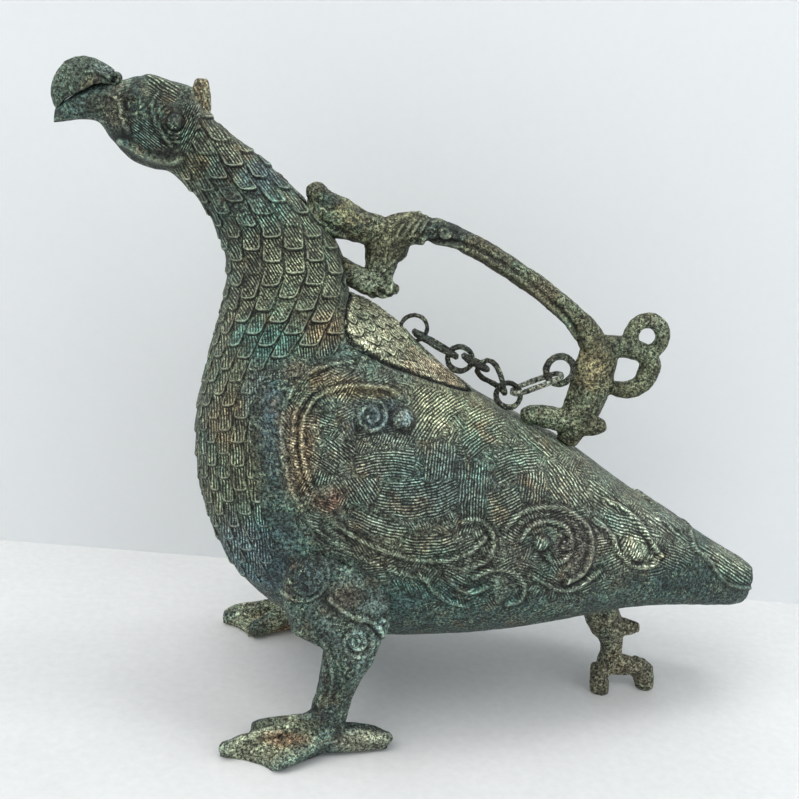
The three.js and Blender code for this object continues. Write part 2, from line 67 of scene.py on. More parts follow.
# Body, neck and head from the tail to the beak: x and z on the back, x and z on the belly, half width
BODY_ROWS = np.array([
    [143.2, 59.4, 141.8, 49.6, 5], [140.8, 60.8, 139, 45.8, 11], [135.2, 63.4, 133.2, 44.6, 14.8],
    [121, 71, 120, 45.6, 20.5], [101, 82, 100, 46.4, 26.5], [81, 94.2, 78, 45.2, 33.5],
    [59.2, 108.4, 54, 40.8, 41.5], [35, 120.6, 31, 36.8, 48], [14, 131.4, 8, 33.8, 52],
    [-3, 144.4, -16, 32.6, 54], [-15.8, 155.4, -40, 34.6, 54], [-27.6, 163.2, -59, 43.8, 52],
    [-35.6, 166.4, -76.6, 61.5, 49], [-38.8, 174.6, -87.6, 87, 45], [-41.8, 184.6, -91, 113, 39],
    [-48.6, 193.8, -87.4, 138, 32], [-57.4, 202.4, -82.9, 160, 24.5], [-67.4, 211.4, -82.2, 176, 19.5],
    [-79.4, 220, -87.2, 190, 17], [-90.2, 228.2, -94.6, 200.4, 16], [-96.8, 236.4, -102.8, 207.2, 16],
    [-105.4, 238.6, -110, 208.4, 15.5], [-113, 240.4, -117.2, 211, 13], [-120.5, 238, -123.2, 216.4, 10.5],
    [-126, 237.4, -128.2, 222.8, 8.6], [-132.4, 234.8, -133.8, 223.6, 7.8], [-138.2, 231.2, -139.2, 222.6, 6.4],
    [-142.9, 227, -143.5, 221.8, 3.6],
])
BODY_ROUNDNESS = 2.2
END_ROUNDNESS = 3.4
TAIL_ENDS = 0.3
BEAK_STARTS = 0.88
NECK_SHARE = 0.5

# Lid, along and across the slope of the back
LID_FRONT = np.array([-36.8, 0.0, 166.6])
LID_SLOPE = math.radians(36.5)
LID_LENGTH = 60
LID_HALF_WIDTH = 34
LID_SHOULDER = 15
LID_SWEEP = 1.6
LID_DRAFT = 0.22
LID_GAP = 1
LID_ALONG = np.array([math.cos(LID_SLOPE), 0, -math.sin(LID_SLOPE)])
LID_OUT = np.array([math.sin(LID_SLOPE), 0, math.cos(LID_SLOPE)])

# How far a scale's rim hangs lower in its middle than at its sides, in lengths of a scale
SCALE_DROOP = 0.4

# The front outline of the neck and breast: level, place across and radius, in pixels
FRONT = np.array([
    (60, 130, 45), (120, 148, 45), (150, 168, 48), (180, 185, 50), (203, 203, 54), (230, 219, 58), (272, 226, 68),
    (310, 222, 82), (361, 209, 106), (406, 200, 125), (440, 197, 134), (480, 200, 140), (520, 208, 140),
    (555, 225, 140), (600, 255, 140),
])

# The scales of the neck and breast: outline, length, width and the pitch of their lines, in pixels
SCALED = [
    (212, 96), (262, 138), (300, 176), (322, 196), (338, 232), (346, 268), (344, 300), (352, 330), (336, 352),
    (312, 362), (292, 352), (268, 372), (256, 396), (252, 430), (252, 462), (257, 492), (268, 524), (278, 552),
    (262, 582), (190, 590), (120, 450), (130, 330), (170, 240), (150, 190), (184, 160), (196, 130),
]
SCALE_LENGTH = 24
SCALE_WIDTH = 21.5
LINE_PITCH = 2.75

# Rows and columns of each quarter of the body's skin, and its first or last rows that close the end
SKIN_GRID = {"body": (392, 236, 12), "neck": (300, 156, 8)}
LID_GRID = (220, 150)


class VesselSizes(bpy.types.PropertyGroup):
    carving_depth: bpy.props.FloatProperty(
        name="Carving Depth", description="How strongly the carved relief stands out", default=1.0, min=0, max=2)
    casting_roughness: bpy.props.FloatProperty(
        name="Casting Roughness", description="Uneven surface of the casting, in millimetres", default=0.16)
    fine_voxel: bpy.props.FloatProperty(
        name="Fine Detail", description="Cell size of the modelled limbs", default=0.00065,
        subtype="DISTANCE", unit="LENGTH")


def colour_setting(name, description, default):
    return bpy.props.FloatVectorProperty(
        name=name, description=description, subtype="COLOR", size=3, default=default)


class VesselColours(bpy.types.PropertyGroup):
    teal: colour_setting("Teal Patina", "Main colour of the body", (0.052, 0.082, 0.069))
    olive: colour_setting("Olive Patina", "Colour of the handle and the chest", (0.088, 0.092, 0.056))
    brown: colour_setting("Brown Patina", "Reddish-brown patches", (0.125, 0.085, 0.048))
    pale: colour_setting("Pale Patina", "Grey-green bloom on the lid and on worn edges", (0.21, 0.22, 0.15))
    # Painted shade: colours the inside walls, the lid's underside, the gap round the filling mouth, the underside
    # of the body and the hinge pin.
    dark_shade: colour_setting("Dark Patina", "Colour of the chain and of deep places", (0.03, 0.04, 0.036))


def sizes():
    return bpy.context.scene.vessel_sizes


def colour(name):
    return tuple(getattr(bpy.context.scene.vessel_colours, name))


# Places in the photograph

def camera_axes():
    """Where the camera stands, in millimetres, and its directions right, up and backwards."""
    level = math.cos(ELEVATION)
    back = np.array([math.sin(AZIMUTH) * level, -math.cos(AZIMUTH) * level, math.sin(ELEVATION)])
    right = np.cross(-back, [0, 0, 1])
    right /= np.linalg.norm(right)
    up = np.cross(right, -back)
    tilted_right = right * math.cos(ROLL) + up * math.sin(ROLL)
    tilted_up = up * math.cos(ROLL) - right * math.sin(ROLL)
    return AIM + back * DISTANCE, tilted_right, tilted_up, back


def to_photo(points, both_sides=True):
    """Pixels at which points in millimetres show, with the far half folded onto the near one."""
    near = np.array(points, float)
    if both_sides:
        near[:, 1] = -abs(near[:, 1])
    eye, right, up, back = camera_axes()
    away = near - eye
    depth = -away @ back
    across = FOCAL_PIXELS * (away @ right) / depth
    level = FOCAL_PIXELS * (away @ up) / depth
    return np.stack([PICTURE / 2 + across, PICTURE / 2 - level], axis=1)


def floor_place(pixel):
    """The point of the floor that shows at a pixel, in metres."""
    eye, right, up, back = camera_axes()
    ray = right * (pixel[0] - PICTURE / 2) - up * (pixel[1] - PICTURE / 2) - back * FOCAL_PIXELS
    return Vector((eye - ray * eye[2] / ray[2]) * MM)


# Curves and soft masks

def catmull(rows, at):
    rows = np.asarray(rows, float)
    padded = np.vstack([2 * rows[0] - rows[1], rows, 2 * rows[-1] - rows[-2]])
    place = np.clip(at, 0, 1) * (len(rows) - 1)
    index = np.clip(np.floor(place).astype(int), 0, len(rows) - 2)
    part = (place - index)[:, None]
    before, start, end, after = (padded[index + step] for step in range(4))
    lead, leave = (end - before) / 2, (after - start) / 2
    return (start + lead * part + (3 * (end - start) - 2 * lead - leave) * part ** 2
            + (2 * (start - end) + lead + leave) * part ** 3)


def smooth_line(points, steps=5):
    return catmull(points, np.linspace(0, 1, (len(points) - 1) * steps + 1))


def spiral(centre, radius, end_radius, start, turns):
    """A line that winds inwards from an angle in degrees, clockwise in the picture if turns is positive."""
    share = np.linspace(0, 1, max(8, int(abs(turns) * 22)))
    angle = math.radians(start) + 2 * math.pi * turns * share
    reach = radius + (end_radius - radius) * share
    return np.stack([centre[0] + reach * np.cos(angle), centre[1] + reach * np.sin(angle)], axis=1)


def distance(spots, line):
    """Distance from a line, in pixels. Past the margin around it, every spot counts as far away."""
    margin, far = 30, 1e3
    line = np.asarray(line, float)
    found = np.full(len(spots), far)
    near = np.all((spots > line.min(0) - margin) & (spots < line.max(0) + margin), axis=1)
    close = spots[near]
    best = np.full(len(close), far)
    for start, end in zip(line[:-1], line[1:]):
        run = end - start
        part = np.clip(((close - start) @ run) / max(run @ run, 1e-9), 0, 1)
        best = np.minimum(best, np.hypot(*(close - start - part[:, None] * run).T))
    found[near] = best
    return found


def signed_inside(spots, corners):
    """Distance from an outline, positive inside it."""
    closed = np.vstack([corners, corners[:1]]).astype(float)
    x, y = spots[:, 0], spots[:, 1]
    within = np.zeros(len(spots), bool)
    for (ax, ay), (bx, by) in zip(closed[:-1], closed[1:]):
        if ay != by:
            within ^= ((ay > y) != (by > y)) & (x < (bx - ax) * (y - ay) / (by - ay) + ax)
    away = distance(spots, closed)
    return np.where(within, away, -away)


def ease(low, high, value):
    part = np.clip((value - low) / (high - low), 0, 1)
    return part * part * (3 - 2 * part)


def cloud(points, size, seed):
    """Smooth noise from -1 to 1 over points in millimetres."""
    shift = Vector((seed * 7.3, seed * 3.1, seed * 5.7))
    return np.array([noise.noise(Vector(p) / size + shift) for p in points])


class Carving:
    """Height in millimetres, engraved lines and colour over a surface, laid out in the photograph's pixels."""

    def __init__(self, points, base, both_sides=True):
        self.points = points
        self.spots = to_photo(points, both_sides)
        self.warp = 0.42 * cloud(points, 4.5, 2)
        # One of these channels lightens crests for worn metal with a painted highlight, and darkens feet, grooves
        # and rings with painted shade.
        for name in ("height", "wear", "phase", "hatch", "scale_row", "scale_column", "scaled"):
            setattr(self, name, np.zeros(len(points)))
        self.tint = np.tile(np.array(base, float), (len(points), 1))

    def ridge(self, line, width, height, smooth=True, polish_and_shade=1.0):
        line = smooth_line(line) if smooth else line
        away = distance(self.spots, line) / width
        crown = np.exp(-away ** 2)
        foot = np.exp(-((away - 2) / 0.9) ** 2)
        self.height += height * (crown - 0.35 * foot)
        # Crown lighter for worn metal and painted highlight, foot darker as painted shade; with a negative height
        # the painted shade falls in the groove.
        self.wear += polish_and_shade * height * (1.1 * crown - 0.9 * foot)

    def dome(self, centre, radius, height):
        away = np.hypot(*(self.spots - centre).T) / radius
        self.height += height * np.sqrt(np.clip(1 - away ** 2, 0, 1))
        # Paler crown for worn metal and painted highlight, and a ring of painted shade round its foot.
        self.wear += 0.35 * np.clip(1 - away ** 2, 0, 1) - 0.8 * np.exp(-((away - 1) / 0.2) ** 2)

    def engrave(self, corners, course, pitch, strength=1.0, soft=2.0):
        """Lines inside an outline: at an angle in degrees, anticlockwise, or in arcs around a centre."""
        mask = ease(-soft, soft, signed_inside(self.spots, corners))
        if np.ndim(course):
            across = np.hypot(*(self.spots - course).T)
        else:
            turn = math.radians(course)
            across = self.spots @ np.array([math.sin(turn), math.cos(turn)])
        covered = mask > 0.5
        self.phase = np.where(covered, across / pitch + self.warp, self.phase)
        self.hatch = np.where(covered, mask * strength, self.hatch * (1 - mask))

    def blend_tint(self, shade, share):
        self.tint += (np.array(shade) - self.tint) * share[:, None]

    def stain(self, centre, radius, shade, strength=0.6):
        away = np.hypot(*((self.spots - centre) / radius).T)
        uneven = 0.25 * cloud(self.points, 9, radius[0] if np.ndim(radius) else radius)
        self.blend_tint(shade, strength * ease(1.15, 0.35, away + uneven))

    def stains(self, rows):
        for row in rows:
            self.stain(*row)

    def fill(self, corners, shade, strength=0.8, soft=4.0):
        self.blend_tint(shade, strength * ease(-soft, soft, signed_inside(self.spots, corners)))


def scale_columns(rows, columns):
    """Columns of scales, each half a scale lower than its neighbour; one scale is 1 long and 1 wide.

    Returns how deep each spot lies inside its scale's rim, how far along the scale, its row and column."""
    column = np.round(columns)
    side = abs(columns - column) * 2
    slide = rows - 0.5 * (column % 2)
    droop = SCALE_DROOP * (1 - np.sqrt(np.clip(1 - (0.97 * side ** 2) ** 2, 0, 1)))
    row = np.floor(slide + droop)
    reach = slide + droop - row
    inside = np.minimum(1 - reach, 0.5 * (1 - side) + 0.35 * np.clip(0.35 - reach, 0, 1))
    return inside, reach, row, column


# Meshes

def mesh_from(shape, name):
    """A mesh with the shape of a bmesh, which is freed."""
    mesh = bpy.data.meshes.new(name)
    shape.to_mesh(mesh)
    shape.free()
    return mesh


def node_shape(node):
    """A bmesh copy of a CAD node."""
    shape = bmesh.new()
    shape.from_mesh(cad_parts[node].data)
    return shape


def surface_tree(shape):
    """Finds the nearest places on a bmesh, which is freed."""
    tree = BVHTree.FromBMesh(shape)
    shape.free()
    return tree


def new_piece(name, mesh, body, material, node):
    """An object that rides on a body and stands for a CAD node."""
    piece = bpy.data.objects.new(name, mesh)
    bpy.context.scene.collection.objects.link(piece)
    mesh.materials.clear()
    mesh.materials.append(material)
    mesh.shade_smooth()
    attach(piece, body)
    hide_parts(node)


def vertex_values(mesh, name):
    flat = np.empty(len(mesh.vertices) * 3, np.float32)
    mesh.vertices.foreach_get(name, flat)
    return flat.reshape(-1, 3).astype(float)


def points_of(mesh):
    return vertex_values(mesh, "co") / MM


def set_points(mesh, points):
    mesh.vertices.foreach_set("co", (points * MM).astype(np.float32).ravel())
    mesh.update()


def normals_of(mesh):
    return vertex_values(mesh, "normal")


def facing(mesh, points):
    """How much each vertex of the near half, or of its mirror image, faces the camera of the photograph."""
    normals = normals_of(mesh)
    normals[:, 1] *= np.where(points[:, 1] > 0, -1, 1)
    return normals @ camera_axes()[3]


def store_carving(mesh, carving):
    """Keeps what the patina reads as attributes of the mesh."""
    values = {name: getattr(carving, name) for name in ("phase", "hatch", "scale_row", "scale_column", "scaled")}
    # worn: worn crests with painted highlights, and painted shade at feet, grooves, rings and the lid's edge.
    values["worn"] = np.clip(0.5 + 0.5 * carving.wear, 0, 1)
    for name, value in values.items():
        mesh.attributes.new(name, "FLOAT", "POINT").data.foreach_set("value", value.astype(np.float32))
    shade = np.hstack([np.clip(carving.tint, 0, 1), np.ones((len(carving.tint), 1))])
    tint = mesh.attributes.new("tint", "FLOAT_COLOR", "POINT")
    tint.data.foreach_set("color", shade.astype(np.float32).ravel())


def carve(mesh, carving):
    """Moves each vertex along its normal by the carved height, with the uneven surface of a casting."""
    rough = sizes().casting_roughness * cloud(carving.points, 3.2, 4)
    move = carving.height * sizes().carving_depth + rough
    set_points(mesh, carving.points + normals_of(mesh) * move[:, None])
    store_carving(mesh, carving)


def sheet_mesh(name, spots):
    """A grid whose vertices lie at spots in millimetres, and the row and column of each vertex."""
    rows, columns = spots.shape[0] - 1, spots.shape[1] - 1
    shape = bmesh.new()
    bmesh.ops.create_grid(shape, x_segments=columns, y_segments=rows, size=1)
    mesh = mesh_from(shape, name)
    grid = points_of(mesh) * MM
    column = np.round((grid[:, 0] + 1) / 2 * columns).astype(int)
    row = np.round((grid[:, 1] + 1) / 2 * rows).astype(int)
    set_points(mesh, spots[row, column])
    return mesh, row, column


def turn_outwards(mesh, inner):
    """Reverses the faces if they look towards an inner point."""
    middle = points_of(mesh).mean(0) - inner
    if (normals_of(mesh).mean(0) @ middle) < 0:
        mesh.flip_normals()
        mesh.update()


def body_places(share, reach, angle):
    """Points of the body's skin for each share along it and each angle around it."""
    rows = catmull(BODY_ROWS, share)
    back, belly, half_width = rows[:, :2], rows[:, 2:4], rows[:, 4:5]
    boxy = np.maximum(0, np.maximum(1 - share / TAIL_ENDS, (share - BEAK_STARTS) / (1 - BEAK_STARTS)))
    roundness = (BODY_ROUNDNESS + (END_ROUNDNESS - BODY_ROUNDNESS) * boxy)[:, None]

    def rounded(value):
        return np.sign(value) * abs(value) ** (2 / roundness) * reach[:, None]

    rise = (back - belly) / 2
    middle = (back + belly) / 2
    lift = rounded(np.cos(angle)[None, :])
    side = rounded(np.sin(angle)[None, :]) * half_width
    return np.stack([middle[:, :1] + rise[:, :1] * lift, side, middle[:, 1:] + rise[:, 1:] * lift], axis=2)


def even_shares(start, end, count):
    """Shares from start to end whose sections lie evenly along the body."""
    fine = np.linspace(start, end, 800)
    rows = catmull(BODY_ROWS, fine)
    step = (np.hypot(*np.diff(rows[:, :2], axis=0).T) + np.hypot(*np.diff(rows[:, 2:4], axis=0).T)) / 2
    run = np.concatenate([[0], np.cumsum(step)])
    return np.interp(np.linspace(0, run[-1], count), run, fine)


def lid_place(points):
    """Along and across the lid, without the widening of its edge, and the height over its plane."""
    away = points - LID_FRONT
    level = away @ LID_OUT
    wide = 1 + LID_DRAFT * level / LID_HALF_WIDTH
    along = LID_SHOULDER + (away @ LID_ALONG - LID_SHOULDER) / wide
    return along, points[:, 1] / wide, level


def bezier(corners, count):
    part = np.linspace(0, 1, count)[:, None]
    a, b, c, d = np.array(corners, float)
    return a * (1 - part) ** 3 + 3 * b * part * (1 - part) ** 2 + 3 * c * part ** 2 * (1 - part) + d * part ** 3


def lid_edge(grow, count=40):
    """Half of the lid's leaf outline, from the middle of its front to its tip."""
    front, tip, half = -grow, LID_LENGTH + 1.6 * grow, LID_HALF_WIDTH + grow
    shoulder = (LID_SHOULDER, half)
    first = bezier([
        (front + LID_SWEEP, 0), (front - LID_SWEEP, 0.6 * half), (front - 2 * LID_SWEEP, half), shoulder], count)
    second = bezier([shoulder, (LID_SHOULDER * 2.3, half), (tip * 0.97, 0.3 * half), (tip, 0)], count)
    return np.vstack([first, second[1:]])


def lid_outline(grow):
    half = lid_edge(grow, 14)
    return np.vstack([half, half[-2:0:-1] * [1, -1]])


# Materials

def link(tree, source, target):
    tree.links.new(source, target)


def new_node(tree, kind, inputs, **settings):
    """A node whose inputs take numbers, colours or the outputs of other nodes."""
    box = tree.nodes.new(kind)
    for name, value in settings.items():
        setattr(box, name, value)
    for key, value in inputs.items():
        socket = box.inputs[key]
        if isinstance(value, bpy.types.NodeSocket):
            link(tree, value, socket)
        elif isinstance(value, tuple) and socket.type == "RGBA":
            socket.default_value = (*value[:3], 1)
        else:
            socket.default_value = value
    return box


def maths(tree, operation, first, second=0.0, clamp=False):
    inputs = {0: first, 1: second}
    return new_node(tree, "ShaderNodeMath", inputs, operation=operation, use_clamp=clamp).outputs[0]


def times(tree, first, second, clamp=False):
    return maths(tree, "MULTIPLY", first, second, clamp)


def plus(tree, first, second):
    return maths(tree, "ADD", first, second)


def minus(tree, first, second, clamp=False):
    return maths(tree, "SUBTRACT", first, second, clamp)


def mix(tree, share, first, second, blend="MIX"):
    inputs = {0: share, 6: first, 7: second}
    return new_node(tree, "ShaderNodeMix", inputs, data_type="RGBA", blend_type=blend).outputs[2]


def tinted(tree, first, second):
    """One colour multiplied by another colour or by a grey."""
    return mix(tree, 1.0, first, second, "MULTIPLY")


def cracks(tree, where):
    """Runs from 0 along an uneven net of fine cracks to 1 inside its cells."""
    bend = new_node(tree, "ShaderNodeTexNoise", {"Vector": where, "Scale": 300, "Detail": 3}).outputs["Color"]
    reach = (0.004, 0.004, 0.004)
    shift = new_node(tree, "ShaderNodeVectorMath", {0: bend, 1: reach, 2: where}, operation="MULTIPLY_ADD")
    inputs = {"Vector": shift.outputs[0], "Scale": 430}
    cell = new_node(tree, "ShaderNodeTexVoronoi", inputs, feature="DISTANCE_TO_EDGE")
    return spread(tree, cell.outputs["Distance"], 0.02, 0.2)


def spread(tree, value, low, high, kind="SMOOTHSTEP"):
    """Runs from 0 where a value is low to 1 where it is high."""
    inputs = {"Value": value, "From Min": low, "From Max": high}
    return new_node(tree, "ShaderNodeMapRange", inputs, interpolation_type=kind).outputs[0]


def grain(tree, where, scale, detail, roughness, low, high):
    """Noise stretched to run from 0 at low to 1 at high."""
    inputs = {"Vector": where, "Scale": scale, "Detail": detail, "Roughness": roughness}
    return spread(tree, new_node(tree, "ShaderNodeTexNoise", inputs).outputs["Fac"], low, high, "LINEAR")


def grey(tree, value, low, high):
    """Brightness from low to high, as a grey colour to multiply by."""
    return plus(tree, times(tree, value, high - low), low)


def attribute(tree, name, output="Fac"):
    return new_node(tree, "ShaderNodeAttribute", {}, attribute_name=name).outputs[output]


def scale_outlines(tree):
    """Painted highlights on the lower rims of the scales, painted shadow in the gaps beneath them, and where
    lines run, as in scale_columns.
    """
    across, down = attribute(tree, "scale_column"), attribute(tree, "scale_row")
    column = maths(tree, "ROUND", across)
    side = times(tree, maths(tree, "ABSOLUTE", minus(tree, across, column)), 2)
    odd = maths(tree, "FLOORED_MODULO", column, 2)
    slide = minus(tree, down, times(tree, odd, 0.5))
    flat = times(tree, times(tree, side, side), 0.97)
    arch = maths(tree, "SQRT", minus(tree, 1, times(tree, flat, flat), True))
    droop = times(tree, minus(tree, 1, arch), SCALE_DROOP)
    reach = maths(tree, "FRACT", plus(tree, slide, droop))
    upper = times(tree, minus(tree, 0.35, reach, True), 0.35)
    flank = plus(tree, times(tree, minus(tree, 1, side), 0.5), upper)
    inside = maths(tree, "MINIMUM", minus(tree, 1, reach), flank)
    mask = attribute(tree, "scaled")
    gap = times(tree, spread(tree, inside, 0.075, 0.03), mask)
    rim = times(tree, spread(tree, inside, 0.07, 0.1), spread(tree, inside, 0.17, 0.13))
    rim = times(tree, times(tree, rim, spread(tree, reach, 0.35, 0.7)), mask)
    bare = times(tree, spread(tree, inside, 0.2, 0.14), mask)
    return rim, gap, minus(tree, 1, bare)


def patina(name, plain=None):
    """Weathered bronze. Its main colour is the surface's own tint, or one plain colour."""
    material = bpy.data.materials.get(name)
    if material:
        return material
    material = bpy.data.materials.new(name)
    material.use_nodes = True
    tree = material.node_tree
    where = tree.nodes.new("ShaderNodeTexCoord").outputs["Object"]
    base = plain or attribute(tree, "tint", "Color")

    teal_patch = times(tree, grain(tree, where, 55, 6, 0.65, 0.5, 0.66), 0.5)
    shade = mix(tree, teal_patch, base, (0.04, 0.1, 0.08))
    brown_patch = times(tree, grain(tree, where, 90, 6, 0.7, 0.53, 0.68), 0.5)
    shade = mix(tree, brown_patch, shade, (0.13, 0.09, 0.045))
    mottle = grain(tree, where, 190, 5, 0.65, 0.36, 0.64)
    shade = tinted(tree, shade, grey(tree, mottle, 0.5, 1.5))
    speck = grain(tree, where, 950, 3, 0.8, 0.42, 0.6)
    shade = tinted(tree, shade, grey(tree, speck, 0.2, 1.85))
    crack = cracks(tree, where)
    lined = 0.0 if plain else attribute(tree, "hatch")
    depth = minus(tree, 1, times(tree, lined, 0.7))
    dip = times(tree, minus(tree, 1, crack), times(tree, depth, 0.5))
    shade = tinted(tree, shade, minus(tree, 1.1, dip))
    cluster = grey(tree, grain(tree, where, 110, 3, 0.6, 0.4, 0.62), 0.15, 1)
    fleck = times(tree, grain(tree, where, 900, 3, 0.75, 0.55, 0.61), 0.9)
    fleck = times(tree, times(tree, fleck, depth), cluster)
    light = mix(tree, 0.62, (0.3, 0.34, 0.22), base)
    shade = mix(tree, fleck, shade, tinted(tree, light, (1.9, 1.9, 1.9)))

    surface = plus(tree, times(tree, mottle, 0.2), times(tree, speck, 0.16))
    surface = plus(tree, surface, times(tree, crack, 0.12))
    if not plain:
        rim, gap, free = scale_outlines(tree)
        wave = maths(tree, "SINE", times(tree, attribute(tree, "phase"), 2 * math.pi))
        hatch = times(tree, lined, free)
        stroke = minus(tree, times(tree, spread(tree, wave, -0.5, 0.9), 2.1), 0.78)
        shade = tinted(tree, shade, plus(tree, times(tree, stroke, hatch), 1))
        # Worn crests, with painted highlights on ridges and scale rims and painted shade at feet, grooves and
        # scale gaps; the highest crests turn pale.
        worn = plus(tree, attribute(tree, "worn"), times(tree, rim, 0.5))
        worn = minus(tree, worn, times(tree, gap, 0.5))
        shade = tinted(tree, shade, grey(tree, worn, 0.1, 1.9))
        pale = times(tree, minus(tree, worn, 0.62, True), 1.3, True)
        shade = mix(tree, pale, shade, (0.3, 0.34, 0.25))
        surface = plus(tree, surface, times(tree, times(tree, wave, hatch), 0.2))
        surface = plus(tree, surface, times(tree, worn, 0.5))

    deep = new_node(tree, "ShaderNodeGamma", {"Color": shade, "Gamma": 1.35})
    relief = new_node(tree, "ShaderNodeBump", {"Strength": 1, "Distance": MM, "Height": surface})
    shader = tree.nodes["Principled BSDF"]
    link(tree, relief.outputs[0], shader.inputs["Normal"])
    link(tree, tinted(tree, deep.outputs[0], (2.25, 2.2, 2.42)), shader.inputs["Base Color"])
    link(tree, plus(tree, times(tree, speck, -0.14), 0.67), shader.inputs["Roughness"])
    shader.inputs["Metallic"].default_value = 0.22
    shader.inputs["Specular IOR Level"].default_value = 0.5
    return material


# Pieces

def front_arc(across, level):
    """Distance around the breast from its front outline, in pixels."""
    edge = np.interp(level, FRONT[:, 0], FRONT[:, 1])
    radius = np.interp(level, FRONT[:, 0], FRONT[:, 2])
    return np.arccos(np.clip(1 - (across - edge) / radius, -1, 1)) * radius


def neck_scales(carving):
    """Rounded scales with fine lines along them, over the neck and the breast."""
    mask = ease(-1.5, 1.5, signed_inside(carving.spots, SCALED))
    across, level = carving.spots.T
    arc = front_arc(across, level)
    uneven = 0.85 + 0.8 * cloud(carving.points, 9, 14)
    carving.scale_row = (level + 1.5 * cloud(carving.points, 12, 8)) / SCALE_LENGTH
    carving.scale_column = (arc + 1.5 * cloud(carving.points, 12, 9)) / SCALE_WIDTH
    carving.scaled = mask * np.clip(uneven, 0, 1)
    inside, reach, row, _ = scale_columns(carving.scale_row, carving.scale_column)
    rim = np.exp(-((inside - 0.1) / 0.06) ** 2)
    gap = np.exp(-(inside / 0.055) ** 2)
    carving.height += mask * (0.6 * ease(0.1, 0.9, reach) + 0.25 * rim - 0.45 * gap)
    covered = mask > 0.5
    breast_row, neck_turn, breast_turn = 12.2, -57, -84
    turn = np.radians(np.where(row < breast_row, neck_turn, breast_turn))
    lines = (across * np.sin(turn) + level * np.cos(turn)) / LINE_PITCH
    carving.phase = np.where(covered, lines + 0.7 * carving.warp, carving.phase)
    strength = np.clip(0.95 + 1.1 * cloud(carving.points, 16, 17), 0.15, 1)
    carving.hatch = np.where(covered, mask * strength, carving.hatch)


def short_lines(carving, corners):
    """Small patches of parallel lines that lie this way and that, as on worn feathers."""
    draw = random.Random(5)
    seeds = np.array([(draw.uniform(280, 705), draw.uniform(350, 615)) for _ in range(480)])
    flow = np.array([draw.choice((-62, -30, -12, 18, 64)) + draw.uniform(-9, 9) for _ in seeds])
    depth = np.array([draw.uniform(0.2, 0.8) for _ in seeds])
    near = np.nonzero(signed_inside(carving.spots, corners) > -6)[0]
    at_once = 20000
    for start in range(0, len(near), at_once):
        rows = near[start:start + at_once]
        spots = carving.spots[rows]
        gap = spots[:, None, :] - seeds[None, :, :]
        nearest = np.argmin((gap ** 2).sum(axis=2), axis=1)
        turn = np.radians(flow[nearest])
        across = spots[:, 0] * np.sin(turn) + spots[:, 1] * np.cos(turn)
        carving.phase[rows] = across / 2.7 + carving.warp[rows]
        carving.hatch[rows] = depth[nearest] * ease(-5, 5, signed_inside(spots, corners))


